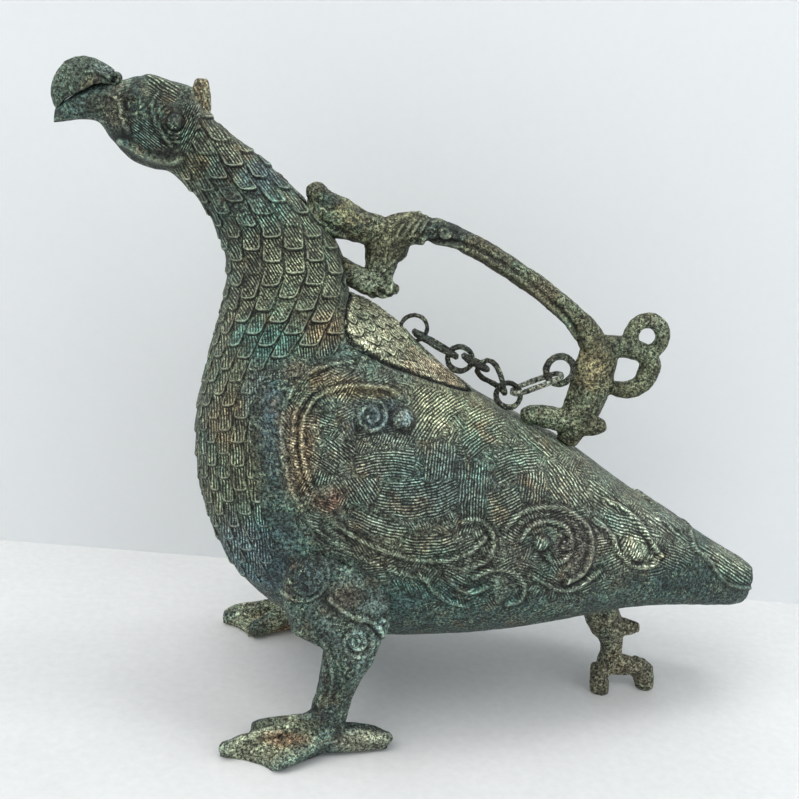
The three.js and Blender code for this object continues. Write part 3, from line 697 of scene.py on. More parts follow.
def wing(carving):
    """Curled bands, a spiral, a boss and engraved feathers on the side of the body."""
    inner = [(401, 398), (388, 389), (362, 386), (338, 388), (318, 397), (306, 413), (302, 433), (303, 458),
             (310, 483), (322, 506), (340, 526), (362, 541), (390, 553), (420, 560), (448, 560), (470, 552),
             (486, 538)]
    outer = [(352, 362), (326, 366), (304, 378), (289, 396), (282, 420), (281, 448), (287, 477), (299, 505),
             (316, 528), (340, 546), (368, 561), (400, 573), (430, 580)]
    feathered = [(300, 372), (352, 352), (400, 352), (470, 372), (520, 400), (600, 470), (690, 520), (700, 560),
                 (640, 585), (560, 600), (470, 610), (400, 590), (320, 545), (290, 480), (282, 420)]
    short_lines(carving, feathered)
    carving.ridge(inner, 2.0, 0.7)
    carving.ridge([(p[0] - 9, p[1] - 4) for p in inner[4:12]], 1.9, 0.5)
    carving.ridge(outer, 2.1, 0.7, polish_and_shade=0.6)
    carving.ridge(spiral((371, 417), 17, 3, -60, 1.7), 2.0, 0.9, smooth=False, polish_and_shade=0.6)
    carving.dome((402, 419), 12, 1.9)
    carving.stain((371, 430), (26, 10), (0.03, 0.045, 0.05), 0.8)
    carving.stain((418, 425), (9, 12), (0.03, 0.06, 0.05), 0.7)

    feathers = [
        ([(322, 436), (356, 444), (360, 466), (330, 462)], -38, 3.0),
        ([(352, 456), (384, 450), (416, 446), (414, 478), (376, 480), (356, 474)], (390, 560), 2.9),
        ([(342, 478), (376, 476), (382, 490), (372, 506), (350, 504)], -56, 2.9),
        ([(382, 484), (410, 478), (456, 470), (462, 500), (440, 520), (400, 520), (374, 508)], (402, 390), 2.9),
        ([(412, 392), (430, 374), (466, 372), (478, 392), (452, 420), (432, 446), (410, 436)], (492, 472), 3.0),
        ([(474, 398), (496, 396), (510, 414), (500, 440), (470, 462), (460, 440)], (524, 508), 3.0),
        ([(424, 446), (440, 438), (456, 446), (456, 478), (424, 482)], 84, 2.9),
        ([(456, 462), (488, 462), (492, 500), (486, 522), (460, 520)], 86, 2.9),
        ([(498, 452), (520, 444), (540, 450), (534, 478), (494, 486)], (540, 560), 2.9),
        ([(516, 474), (546, 470), (548, 492), (540, 506), (518, 500)], 84, 2.9),
        ([(486, 492), (518, 486), (524, 510), (516, 526), (486, 526)], (470, 420), 2.9),
        ([(546, 458), (580, 476), (594, 500), (576, 506), (550, 500)], -56, 3.0),
        ([(348, 506), (396, 520), (412, 532), (392, 542), (356, 530)], (420, 400), 3.0),
        ([(404, 536), (452, 532), (458, 552), (430, 560), (404, 556)], (424, 460), 3.0),
        ([(584, 474), (620, 496), (644, 524), (620, 532), (596, 512)], -36, 3.0),
        ([(602, 512), (636, 514), (664, 538), (640, 544), (610, 532)], -16, 3.0),
        ([(640, 492), (668, 504), (698, 530), (690, 544), (660, 534), (642, 514)], -36, 3.0),
        ([(512, 408), (540, 420), (566, 448), (548, 458), (520, 440)], -42, 3.2),
    ]
    for corners, course, pitch in feathers:
        carving.engrave(corners, course, pitch, 0.85, 3)

    scrolls = [
        [(505, 530), (520, 514), (545, 507), (570, 512), (588, 528), (592, 550), (584, 572), (566, 584)],
        [(520, 540), (532, 526), (550, 521), (566, 528), (572, 546), (564, 560), (552, 562), (546, 552)],
        [(462, 522), (478, 520), (490, 530), (494, 546), (488, 560), (474, 566)],
        [(474, 578), (492, 570), (512, 572), (524, 586), (520, 600), (506, 604)],
        [(446, 576), (458, 588), (474, 592), (488, 586)],
        [(596, 520), (612, 536), (618, 552), (634, 566), (652, 566), (660, 556)],
        [(604, 500), (622, 508), (640, 524), (652, 544), (662, 556)],
        [(530, 574), (546, 584), (562, 590), (580, 586), (600, 570)],
        [(420, 574), (432, 588), (446, 600), (468, 606)],
    ]
    for line in scrolls:
        carving.ridge(line, 2.1, 0.85, polish_and_shade=0.75)
    for spot, radius in (((403, 420), 14), ((371, 417), 17)):
        carving.hatch *= ease(radius - 3, radius + 2, np.hypot(*(carving.spots - spot).T))
    carving.dome((541, 543), 9, 0.9)
    carving.dome((566, 545), 7, 0.7)
    carving.dome((634, 548), 15, 0.8)


def tail(carving):
    """The step at the end of the tail feathers and the paler face behind it."""
    step = [(652, 506), (666, 511), (680, 518), (693, 528), (690, 532), (676, 532), (660, 524)]
    carving.height += 1.3 * ease(-1.2, 1.2, signed_inside(carving.spots, step))
    edge = [(690, 531), (696, 549), (705, 556), (712, 565), (719, 575), (727, 583), (738, 587), (750, 588)]
    carving.ridge(edge, 1.6, 0.6)
    carving.engrave([(696, 532), (752, 566), (750, 586), (728, 582), (712, 562), (700, 550)], -34, 3.0)


def head(carving):
    """Brow, eye and cheek of the bird's head."""
    carving.ridge([(148, 79), (160, 83), (176, 88), (190, 92)], 4, 1.1, polish_and_shade=0.2)
    plate = [(121, 100), (129, 96), (138, 99), (141, 107), (136, 114), (126, 114), (120, 108), (121, 100)]
    carving.ridge(plate, 1.5, 0.6, polish_and_shade=0.5)
    carving.height -= 0.7 * ease(10, 6, np.hypot(*(carving.spots - (130, 106)).T))
    carving.dome((175, 122), 9, 1.3)
    for radius in (12, 16, 20):
        carving.ridge(spiral((175, 122), radius, radius, -30, 0.75), 1.3, 0.5, smooth=False)
    carving.ridge([(158, 92), (152, 106), (156, 122), (164, 136), (172, 146)], 2, 0.6)
    carving.ridge([(120, 140), (134, 150), (150, 158), (168, 162), (180, 160)], 3, 0.7)
    carving.ridge([(104, 92), (112, 96), (120, 104), (122, 118), (128, 132)], 2, 0.5)
    carving.dome((121, 142), 5, 0.7)
    carving.dome((136, 128), 5, 0.5)
    carving.engrave([(146, 76), (180, 88), (176, 104), (150, 100)], -30, 2.4)
    carving.engrave([(182, 104), (200, 104), (196, 150), (180, 150)], 64, 2.3)
    carving.engrave([(126, 118), (156, 120), (168, 150), (140, 150)], -38, 2.3)


def body_colours(carving):
    """Patches of patina, from the head to the tail, with painted shadow below the head, painted light on the top
    of the wing and painted shade along the underside.
    """
    teal, olive, brown = colour("teal"), colour("olive"), colour("brown")
    pale, dark_shade = colour("pale"), colour("dark_shade")
    blue, shadow = (0.06, 0.095, 0.105), (0.03, 0.036, 0.03)
    front = [(150, 60), (340, 200), (350, 330), (300, 360), (262, 420), (262, 560), (180, 560), (120, 400),
             (130, 200)]
    side = [(290, 375), (352, 355), (480, 370), (560, 440), (700, 530), (690, 560), (560, 600), (400, 590),
            (310, 540), (280, 450)]
    below = [(300, 640), (480, 640), (760, 620), (760, 596), (700, 600), (600, 604), (500, 612), (400, 618)]
    carving.fill(front, olive, 0.75, 14)
    carving.fill(side, (0.1, 0.11, 0.082), 0.75, 14)
    carving.stains([
        ((255, 190), (60, 46), teal, 0.8),
        ((202, 98), (12, 26), (0.2, 0.21, 0.16), 0.7),
        ((160, 120), (56, 44), (0.024, 0.04, 0.034), 0.75),
        ((265, 175), (26, 20), (0.06, 0.09, 0.09), 0.7),
        ((120, 82), (14, 9), (0.16, 0.18, 0.13), 0.7),
        # Painted shadows on the throat below the head and under the jaw.
        ((220, 196), (24, 60), shadow, 0.75),
        ((148, 152), (30, 14), (0.03, 0.035, 0.03), 0.6),
        ((240, 262), (26, 44), (0.05, 0.055, 0.042), 0.5),
        ((120, 110), (26, 26), brown, 0.35),
        ((98, 104), (20, 12), (0.05, 0.055, 0.035), 0.6),
        ((130, 106), (8, 7), (0.015, 0.02, 0.02), 0.8),
        ((262, 340), (46, 30), (0.055, 0.12, 0.1), 0.7),
        ((330, 330), (34, 22), brown, 0.45),
        ((195, 430), (20, 90), teal, 0.35),
        ((262, 400), (26, 56), (0.055, 0.075, 0.075), 0.6),
        ((225, 420), (24, 40), brown, 0.35),
        ((300, 440), (22, 62), (0.16, 0.125, 0.075), 0.8),
        ((330, 385), (44, 16), (0.17, 0.15, 0.09), 0.6),
        ((326, 500), (30, 18), (0.17, 0.09, 0.06), 0.6),
        ((278, 420), (22, 76), blue, 0.45),
        ((385, 415), (40, 26), blue, 0.6),
        ((406, 421), (9, 9), (0.1, 0.15, 0.17), 0.8),
        ((372, 392), (34, 10), (0.15, 0.13, 0.07), 0.7),
        ((300, 372), (36, 14), (0.09, 0.07, 0.05), 0.6),
        # Paler top of the wing: pale patina and painted light where it faces up.
        ((450, 405), (62, 44), (0.2, 0.215, 0.14), 0.8),
        ((540, 440), (70, 40), (0.16, 0.18, 0.13), 0.6),
        ((630, 515), (60, 32), (0.17, 0.19, 0.15), 0.65),
        ((440, 480), (90, 50), (0.042, 0.068, 0.062), 0.6),
        ((560, 545), (66, 44), (0.095, 0.09, 0.075), 0.7),
        ((590, 480), (40, 30), pale, 0.25),
        ((632, 548), (26, 26), (0.26, 0.29, 0.21), 0.75),
        ((730, 560), (34, 26), pale, 0.5),
        ((640, 500), (56, 20), olive, 0.5),
        ((420, 600), (150, 30), (0.05, 0.1, 0.088), 0.6),
        ((250, 560), (60, 60), blue, 0.7),
        ((690, 582), (56, 26), (0.03, 0.055, 0.05), 0.8),
        ((400, 545), (60, 20), olive, 0.4),
        ((300, 440), (26, 70), (0.19, 0.165, 0.11), 0.5),
    ])
    # Painted shade along the underside of the body.
    carving.fill(below, dark_shade, 0.3, 8)


def carve_body(mesh):
    """Carves and colours the skin. Returns how far inside the filling mouth each vertex lies."""
    carving = Carving(points_of(mesh), colour("teal"))
    for part in (neck_scales, wing, tail, head):
        part(carving)
    carving.hatch *= 0.15 + 0.85 * ease(0.2, 0.5, facing(mesh, carving.points))
    body_colours(carving)
    along, side, level = lid_place(carving.points)
    inside = signed_inside(np.stack([along, side], axis=1), lid_outline(LID_GAP - 0.1))
    below, ahead = level <= -12, carving.points[:, 0] < -45
    inside = np.where(below | ahead, -30, inside)
    clear = 1 - ease(-6, -3, inside)
    carving.height *= clear
    carving.hatch *= clear
    carving.height += 0.7 * np.exp(-((inside + 2.2) / 1.0) ** 2)
    carving.height -= 2.6 * ease(-0.4, 0.5, inside)
    # Painted shade in the gap round the lid, at the rim of the filling mouth.
    carving.blend_tint(colour("dark_shade"), ease(-1.9, -0.7, inside))
    carve(mesh, carving)
    return inside


def remove_vertices(mesh, lost):
    """Takes the marked vertices out of the skin, at the filling mouth or the spout."""
    shape = bmesh.new()
    shape.from_mesh(mesh)
    shape.verts.ensure_lookup_table()
    bmesh.ops.delete(shape, geom=[shape.verts[i] for i in np.nonzero(lost)[0]], context="VERTS")
    shape.to_mesh(mesh)
    shape.free()


def body_skin(part, side):
    """One quarter of the body's outer skin; part is body or neck, side is -1 on the left, 1 on the right."""
    rows, columns, cap = SKIN_GRID[part]
    closing = np.linspace(0, 1, cap, endpoint=False)
    skin = rows + 1 - cap
    if part == "body":
        share = np.concatenate([np.zeros(cap), even_shares(0, NECK_SHARE, skin)])
        reach = np.concatenate([closing, np.ones(skin)])
    else:
        share = np.concatenate([even_shares(NECK_SHARE, 1, skin), np.ones(cap)])
        reach = np.concatenate([np.ones(skin), closing[::-1]])
    angle = np.linspace(0, math.pi, columns + 1) * side
    spots = body_places(share, reach, angle)
    mesh, row, column = sheet_mesh(f"{part}_skin", spots)
    turn_outwards(mesh, spots.mean((0, 1)) * [1, 0, 1])
    inside = carve_body(mesh)
    remove_vertices(mesh, inside > 3.2 if part == "body" else away_from_cad(spots[row, column]))
    return mesh


def away_from_cad(points):
    """Marks the points of the beak's end that the CAD body has no skin at, because the spout opens there."""
    spout_starts, close = -119, 0.45 * MM
    tree = surface_tree(node_shape("body_shell"))
    marked = np.zeros(len(points), bool)
    for i in np.nonzero(points[:, 0] < spout_starts)[0]:
        marked[i] = tree.find_nearest(Vector(points[i] * MM))[3] > close
    return marked


def outer_skin_tree():
    """The plain outer surface of the body, for finding what lies on it."""
    angle = np.linspace(-math.pi, math.pi, 97)
    mesh, _, _ = sheet_mesh("plain_skin", body_places(even_shares(0, 1, 160), np.ones(160), angle))
    shape = bmesh.new()
    shape.from_mesh(mesh)
    bpy.data.meshes.remove(mesh)
    return surface_tree(shape)


def on_crest(spot):
    return -100.5 < spot.x < -89 and spot.z > 224.5 and abs(spot.y) < 5


def inner_faces(node, name, depth):
    """A copy of a CAD node without the faces that lie on the outer skin."""
    tree = outer_skin_tree()
    shape = node_shape(node)
    bmesh.ops.remove_doubles(shape, verts=shape.verts, dist=1e-6)
    outer = []
    for face in shape.faces:
        corners = [tree.find_nearest(v.co)[3] for v in face.verts]
        if max(corners) < depth * MM or on_crest(face.calc_center_median() / MM):
            outer.append(face)
    bmesh.ops.delete(shape, geom=outer, context="FACES")
    mesh = mesh_from(shape, name)
    # Painted shade: the inside walls take the shade colour.
    store_carving(mesh, Carving(points_of(mesh), colour("dark_shade")))
    return mesh


def sculpted(node, name, voxel, smoothing, hold=0.5):
    """A finely remeshed, softened copy of a CAD node, pulled back towards the node by a share."""
    shape = node_shape(node)
    bmesh.ops.remove_doubles(shape, verts=shape.verts, dist=1e-6)
    coarse = mesh_from(shape, name)
    holder = bpy.data.objects.new(name, coarse)
    bpy.context.scene.collection.objects.link(holder)
    remesh = holder.modifiers.new("Remesh", "REMESH")
    remesh.mode = "VOXEL"
    remesh.voxel_size = voxel
    bpy.context.view_layer.update()
    mesh = bpy.data.meshes.new_from_object(holder.evaluated_get(bpy.context.evaluated_depsgraph_get()))
    bpy.data.objects.remove(holder)
    bpy.data.meshes.remove(coarse)
    shape = bmesh.new()
    shape.from_mesh(mesh)
    for _ in range(smoothing):
        bmesh.ops.smooth_vert(
            shape, verts=shape.verts, factor=0.5, use_axis_x=True, use_axis_y=True, use_axis_z=True)
    tree = surface_tree(node_shape(node))
    for vert in shape.verts:
        vert.co = vert.co.lerp(tree.find_nearest(vert.co)[0], hold)
    shape.to_mesh(mesh)
    shape.free()
    mesh.update()
    return mesh


def cast_piece(node, name, body, voxel, smoothing, tint, cut, hold=0.5, both_sides=True):
    """A softened copy of a CAD node, carved by cut, that stands for the node."""
    mesh = sculpted(node, name, voxel, smoothing, hold)
    carving = Carving(points_of(mesh), tint, both_sides)
    cut(carving)
    set_points(mesh, carving.points)
    carve(mesh, carving)
    new_piece(name, mesh, body, patina("carved bronze"), node)


class VESSEL_OT_body(bpy.types.Operator):
    """Carved skin of the body, neck and head, and the walls inside"""
    bl_idname = "vessel.body"
    bl_label = "Body"

    def execute(self, context):
        pieces = [(f"{part}_skin_{word}", body_skin(part, side))
                  for part in ("body", "neck") for side, word in ((-1, "left"), (1, "right"))]
        pieces.append(("vessel_inside", inner_faces("body_shell", "vessel_inside", 0.8)))
        pieces.append(("head_crest", head_crest()))
        for name, mesh in pieces:
            new_piece(name, mesh, "vessel", patina("carved bronze"), "body_shell")
        return {"FINISHED"}


def head_crest():
    """The upright crest at the back of the head."""
    shape = bmesh.new()
    bmesh.ops.create_uvsphere(shape, u_segments=72, v_segments=64, radius=1)
    mesh = mesh_from(shape, "head_crest")
    ball = points_of(mesh) * MM
    rows = [[-95.2, 224.6, 6.2, 5.2], [-94.8, 229.6, 4.8, 4.8], [-93.8, 236, 3.6, 4.1], [-93.6, 240.5, 2.9, 3.1]]
    row = catmull(rows, (ball[:, 2] + 1) / 2)
    around = np.hypot(ball[:, 0], ball[:, 1])
    blunt = np.clip(around, 1e-9, 1) ** 0.35 / np.clip(around, 1e-9, None)
    set_points(mesh, np.stack([
        row[:, 0] + row[:, 2] * ball[:, 0] * blunt, row[:, 3] * ball[:, 1] * blunt, row[:, 1]], axis=1))
    carving = Carving(points_of(mesh), (0.15, 0.14, 0.09))
    carving.phase = 0.7 * carving.points[:, 0] + 0.35 * carving.points[:, 2] + carving.warp
    carving.hatch = np.full(len(ball), 0.35)
    carving.height += 0.3 * cloud(carving.points, 3.5, 41)
    carve(mesh, carving)
    return mesh


class VESSEL_OT_lid(bpy.types.Operator):
    """Leaf-shaped lid with scales and long feathers, and its underside"""
    bl_idname = "vessel.lid"
    bl_label = "Lid"

    def execute(self, context):
        for name, mesh in (("lid_skin", lid_mesh()), ("lid_underside", inner_faces("lid", "lid_underside", 0.7))):
            new_piece(name, mesh, "cover", patina("carved bronze"), "lid")
        return {"FINISHED"}


def lid_spot(tree, a, b):
    """The place on the body's plain skin over a place of the lid's plan, along and across it."""
    level = 4.0
    for _ in range(2):
        wide = 1 + LID_DRAFT * level / LID_HALF_WIDTH
        foot = LID_FRONT + LID_ALONG * (LID_SHOULDER + (a - LID_SHOULDER) * wide)
        foot = foot + np.array([0, b * wide, 0])
        hit = tree.ray_cast(Vector((foot + LID_OUT * 25) * MM), Vector(-LID_OUT))[0]
        if hit is None:
            break
        level = float((np.array(hit) / MM - foot) @ LID_OUT)
    return foot + LID_OUT * level


def carve_lid(carving, a, b):
    """Scales on the lid's front half, long feathers behind them, and its border."""
    carving.scale_row, carving.scale_column = (a + 2) / 7, b / 5.4
    inside, reach, number, column = scale_columns(carving.scale_row, carving.scale_column)
    rim = np.exp(-((inside - 0.12) / 0.07) ** 2)
    gap = np.exp(-(inside / 0.06) ** 2)
    front = ease(30, 26, a + 0.12 * abs(b))
    carving.height += front * (0.45 * ease(0.1, 0.8, reach) + 0.3 * rim - 0.5 * gap)
    carving.scaled = front
    lane_width = 7.0
    vane = b / np.clip((LID_LENGTH - a) / (LID_LENGTH - 20), 0.12, 1)
    lane = vane / lane_width + 0.5
    quill = abs(lane - np.round(lane)) * lane_width
    back = 1 - front
    groove = np.exp(-(quill / 0.55) ** 2)
    carving.height += back * (0.3 * ease(0, 2.2, abs((lane % 1) - 0.5) * 7) - 0.45 * groove)
    # Painted shade in the grooves between the long feathers.
    carving.wear -= back * 0.9 * groove
    carving.phase = np.where(front > 0.5, (a + 0.8 * b) / 1.5, b / 1.1) + carving.warp
    carving.hatch = 0.3 * front + 0.5 * back
    border = signed_inside(np.stack([a, b], axis=1), lid_outline(0.1))
    carving.height *= ease(0.2, 2.0, border)
    carving.height -= 0.3 * ease(0.8, 0, border)
    # Painted highlight on the rounded shoulder inside the edge, and painted shade at the edge where the lid meets
    # the body.
    carving.wear += 0.35 * np.exp(-((border - 1.8) / 0.6) ** 2) - 0.9 * ease(0.9, 0.2, border)
    uneven = 0.5 + 0.5 * np.sin((number * 31 + column * 17) * 12.9898)
    carving.tint *= (1 + 0.28 * (uneven - 0.5) * front)[:, None]
    carving.stain((436, 374), (40, 22), (0.3, 0.26, 0.18), 0.7)
    carving.stain((372, 345), (20, 26), (0.3, 0.31, 0.22), 0.4)


def turn_edge_down(mesh, depth):
    """A narrow wall around the lid, in millimetres."""
    shape = bmesh.new()
    shape.from_mesh(mesh)
    made = bmesh.ops.extrude_edge_only(shape, edges=[e for e in shape.edges if e.is_boundary])
    fresh = [v for v in made["geom"] if isinstance(v, bmesh.types.BMVert)]
    bmesh.ops.translate(shape, verts=fresh, vec=Vector(-LID_OUT * depth * MM))
    bmesh.ops.remove_doubles(shape, verts=shape.verts, dist=1e-6)
    shape.to_mesh(mesh)
    shape.free()


def lid_mesh():
    rows, columns = LID_GRID
    edge = lid_edge(0.1)
    run = np.concatenate([[0], np.cumsum(np.hypot(*np.diff(edge, axis=0).T))])
    share = np.linspace(0, run[-1], rows + 1)
    rim = np.stack([np.interp(share, run, edge[:, 0]), np.interp(share, run, edge[:, 1])], axis=1)
    spine = np.linspace(edge[0, 0], edge[-1, 0], rows + 1)
    side = np.linspace(-1, 1, columns + 1)
    along = spine[:, None] + (rim[:, :1] - spine[:, None]) * side[None, :] ** 2
    across = rim[:, 1:] * side[None, :]
    tree = outer_skin_tree()
    places = np.array([[lid_spot(tree, a, b) for a, b in zip(*row)] for row in zip(along, across)])
    mesh, row, column = sheet_mesh("lid_skin", places)
    if normals_of(mesh).mean(0) @ LID_OUT < 0:
        mesh.flip_normals()
        mesh.update()
    carving = Carving(points_of(mesh), 0.9 * np.array(colour("pale")))
    carve_lid(carving, along[row, column], across[row, column])
    carve(mesh, carving)
    turn_edge_down(mesh, 2.2)
    return mesh


class VESSEL_OT_handle(bpy.types.Operator):
    """Arched handle in the shape of a tiger that bites the neck"""
    bl_idname = "vessel.handle"
    bl_label = "Handle"

    def execute(self, context):
        cast_piece("tiger_handle", "tiger_handle_cast", "vessel", sizes().fine_voxel, 5,
                   colour("olive"), carve_tiger)
        return {"FINISHED"}


def carve_tiger(carving):
    """Ear, eye, jaw, shoulder folds, ribs and claws of the tiger."""
    carving.dome((331, 201), 5, 0.8)
    carving.ridge(spiral((331, 201), 6, 6, 0, 1), 1.3, 0.5, smooth=False)
    carving.ridge([(309, 206), (318, 221), (330, 231), (345, 236)], 2.2, 0.5)
    carving.ridge([(306, 214), (314, 228), (326, 236)], 1.6, -0.6)
    for shift in range(5):
        start = 392 + 8 * shift
        carving.ridge([(start, 236 - shift), (start + 10, 222 - shift), (start + 24, 214)], 1.8, -0.55)
    carving.ridge([(403, 262), (418, 250), (424, 238)], 2.4, 0.7)
    carving.ridge([(382, 268), (392, 284), (384, 296), (370, 298)], 2.0, 0.5)
    carving.ridge(spiral((445, 233), 6, 2, 0, 1.4), 1.4, 0.7, smooth=False)
    under = [(424, 246), (440, 244), (462, 248), (484, 258), (508, 272), (530, 288), (550, 306), (566, 322),
             (576, 338)]
    carving.ridge(under, 2.0, 0.45)
    carving.ridge([(x + 2, y - 5) for x, y in under], 1.6, -0.4)
    for claw in ([(376, 288), (384, 294), (396, 296)], [(372, 293), (380, 299), (392, 299)]):
        carving.ridge(claw, 1.4, -0.5)
    carving.height += 0.3 * np.clip(cloud(carving.points, 2.4, 9), 0, 1) + 0.35 * cloud(carving.points, 7, 5)
    carving.stains([
        ((446, 234), (40, 20), (0.028, 0.038, 0.034), 0.85),
        ((652, 330), (17, 17), (0.25, 0.27, 0.2), 0.6),
        ((500, 262), (26, 18), (0.05, 0.058, 0.045), 0.5),
        ((540, 300), (18, 26), (0.1, 0.075, 0.05), 0.5),
        ((340, 215), (22, 18), (0.2, 0.19, 0.1), 0.5),
        ((595, 370), (20, 40), (0.2, 0.185, 0.11), 0.75),
        ((548, 416), (34, 16), (0.2, 0.22, 0.15), 0.75),
        ((372, 280), (36, 22), (0.17, 0.2, 0.145), 0.7),
        ((640, 350), (36, 44), (0.11, 0.14, 0.095), 0.5),
        ((330, 200), (12, 9), colour("teal"), 0.6),
    ])


class VESSEL_OT_beak(bpy.types.Operator):
    """Hooked upper beak on its hinge pin"""
    bl_idname = "vessel.beak"
    bl_label = "Beak"

    def execute(self, context):
        cast_piece("upper_beak", "upper_beak_cast", "beak", 0.00032, 3, (0.07, 0.095, 0.07),
                   carve_beak, hold=0.92)
        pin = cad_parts["beak_hinge_pin"].data.materials
        pin.clear()
        # Painted shade: the pin takes the shade colour, as it sits in the shaded hinge gap.
        pin.append(patina("pin bronze", plain=colour("dark_shade")))
        return {"FINISHED"}


def carve_beak(carving):
    """Lowers the rim onto the lower beak, and carves a fold along the side."""
    rim = distance(carving.spots, smooth_line([(57, 106), (65, 101), (76, 94), (88, 87), (98, 82), (108, 80)]))
    carving.points[:, 2] -= 0.95 * np.exp(-(rim / 3.5) ** 2)
    carving.stain((92, 84), (16, 14), (0.07, 0.06, 0.035), 0.7)
    carving.stain((105, 68), (14, 9), (0.1, 0.13, 0.12), 0.6)
    carving.ridge([(85, 72), (96, 72), (108, 76), (117, 81)], 1.4, 0.35)


class VESSEL_OT_legs(bpy.types.Operator):
    """Legs with webbed feet, with curled reliefs on the thighs"""
    bl_idname = "vessel.legs"
    bl_label = "Legs"

    def execute(self, context):
        for node in ("left_leg", "right_leg"):
            cast_piece(node, node + "_cast", "vessel", sizes().fine_voxel, 3, (0.075, 0.1, 0.085),
                       carve_leg)
        return {"FINISHED"}


def carve_leg(carving):
    """Curls on the thigh, toes and web; the sole and the outermost side of the foot stay plain."""
    for curl, width, height, polish_and_shade in (
            (spiral((302, 574), 27, 27, 0, 1), 1.5, 0.7, 0.6),
            (spiral((305, 575), 19, 4, 60, 1.6), 1.6, 0.6, 0.4),
            (spiral((357, 643), 18, 4, -60, 1.7), 1.7, 0.8, 0.6),
            (spiral((392, 628), 13, 3, 120, 1.6), 1.8, 0.8, 0.6)):
        carving.ridge(curl, width, height, smooth=False, polish_and_shade=polish_and_shade)
    for toe in (
            [(276, 768), (296, 758), (314, 746), (330, 732)],
            [(224, 750), (242, 740), (264, 733), (290, 724), (312, 718)],
            [(256, 726), (280, 719), (306, 715)],
            [(388, 738), (368, 736), (346, 732)]):
        carving.ridge(toe, 4.5, 1.1, polish_and_shade=0.3)
    carving.height -= 0.9 * ease(13, 4, distance(carving.spots, np.array([(262, 750), (306, 738)])))
    carving.ridge([(330, 600), (344, 612), (356, 618), (372, 622), (384, 634)], 2.4, 0.7)
    carving.ridge([(322, 640), (330, 660), (332, 684), (326, 706)], 2.0, 0.5)
    web = [(222, 752), (240, 732), (286, 716), (318, 724), (312, 744), (270, 764), (232, 764)]
    carving.fill(web, (0.27, 0.29, 0.2), 0.75, 8)
    carving.stains([
        ((283, 739), (32, 10), (0.26, 0.17, 0.1), 0.6),
        ((262, 726), (46, 7), (0.07, 0.085, 0.06), 0.6),
        ((362, 742), (40, 14), (0.24, 0.25, 0.18), 0.75),
        ((300, 574), (34, 30), (0.04, 0.06, 0.058), 0.75),
        ((372, 640), (30, 36), (0.15, 0.21, 0.185), 0.65),
        ((340, 690), (16, 30), (0.04, 0.07, 0.055), 0.6),
        ((345, 596), (22, 16), colour("brown"), 0.4),
    ])
    knobs = 0.5 * cloud(carving.points, 5, 12)
    carving.height += np.where(carving.points[:, 2] < 9, knobs, 0.3 * knobs)
    off_floor = ease(1.2, 2.4, carving.points[:, 2])
    carving.height *= off_floor * ease(63.4, 60.5, abs(carving.points[:, 1]))


class VESSEL_OT_tail_support(bpy.types.Operator):
    """Small beast that holds up the tail"""
    bl_idname = "vessel.tail_support"
    bl_label = "Tail Support"

    def execute(self, context):
        cast_piece("tail_support_tiger", "tail_support_cast", "vessel", 0.0005, 4,
                   (0.135, 0.13, 0.09), carve_beast, both_sides=False)
        return {"FINISHED"}


def carve_beast(carving):
    """Mouth, haunch and eye of the small beast."""
    carving.ridge([(612, 624), (624, 630), (636, 632)], 1.4, -0.5)
    carving.ridge([(596, 664), (606, 676), (620, 684)], 1.4, -0.4)
    carving.dome((604, 618), 3, 0.6)
    carving.height += 0.35 * cloud(carving.points, 4, 21) * ease(1, 2.4, carving.points[:, 2])
    carving.stain((605, 640), (14, 14), (0.09, 0.1, 0.075), 0.5)


class VESSEL_OT_chain(bpy.types.Operator):
    """Handle ring, six wire links and the loop on the lid"""
    bl_idname = "vessel.chain"
    bl_label = "Chain"

    def execute(self, context):
        pieces = [("handle_ring", "vessel", 0.06), ("lid_loop", "cover", 0.05), ("chain_link_1", "link_1", 0.15)]
        pieces += [(f"chain_link_{n}", f"link_{n}", 0.038) for n in range(2, 7)]
        for number, (node, body, shade) in enumerate(pieces):
            def roughen(carving, seed=30 + number):
                carving.height += 0.16 * cloud(carving.points, 2.2, seed)

            cast_piece(node, node + "_cast", body, 0.0003, 3, (shade, shade * 1.08, shade * 0.86),
                       roughen, both_sides=False)
        return {"FINISHED"}


class VESSEL_OT_stage(bpy.types.Operator):
    """Floor, backdrop, lights and the camera of the photograph"""
    bl_idname = "vessel.stage"
    bl_label = "Stage"

    def execute(self, context):
        scene = context.scene
        scene.view_settings.view_transform = "Standard"
        right, left = floor_place((1700, 676)), floor_place((-900, 468))
        foot = [right + (right - left) * 0.7, left + (left - right) * 0.7]
        near = [Vector((-1.6, -1.6, 0)), Vector((1.6, -1.6, 0))]
        stage_surface("floor", near + foot, None, (0.66, 0.67, 0.67))
        stage_surface("backdrop", foot, 3.0, BACKDROP)
        place_camera(scene)
        place_lights(scene)
        return {"FINISHED"}


def camera_ray(tree):
    return tree.nodes.new("ShaderNodeLightPath").outputs["Is Camera Ray"]


def camera_sees(tree, usual, shown, share, output):
    """Shows the camera one shader by a share, while another one gives the light."""
    choice = new_node(tree, "ShaderNodeMixShader", {0: share, 1: usual.outputs[0], 2: shown.outputs[0]})
    link(tree, choice.outputs[0], tree.nodes[output].inputs["Surface"])


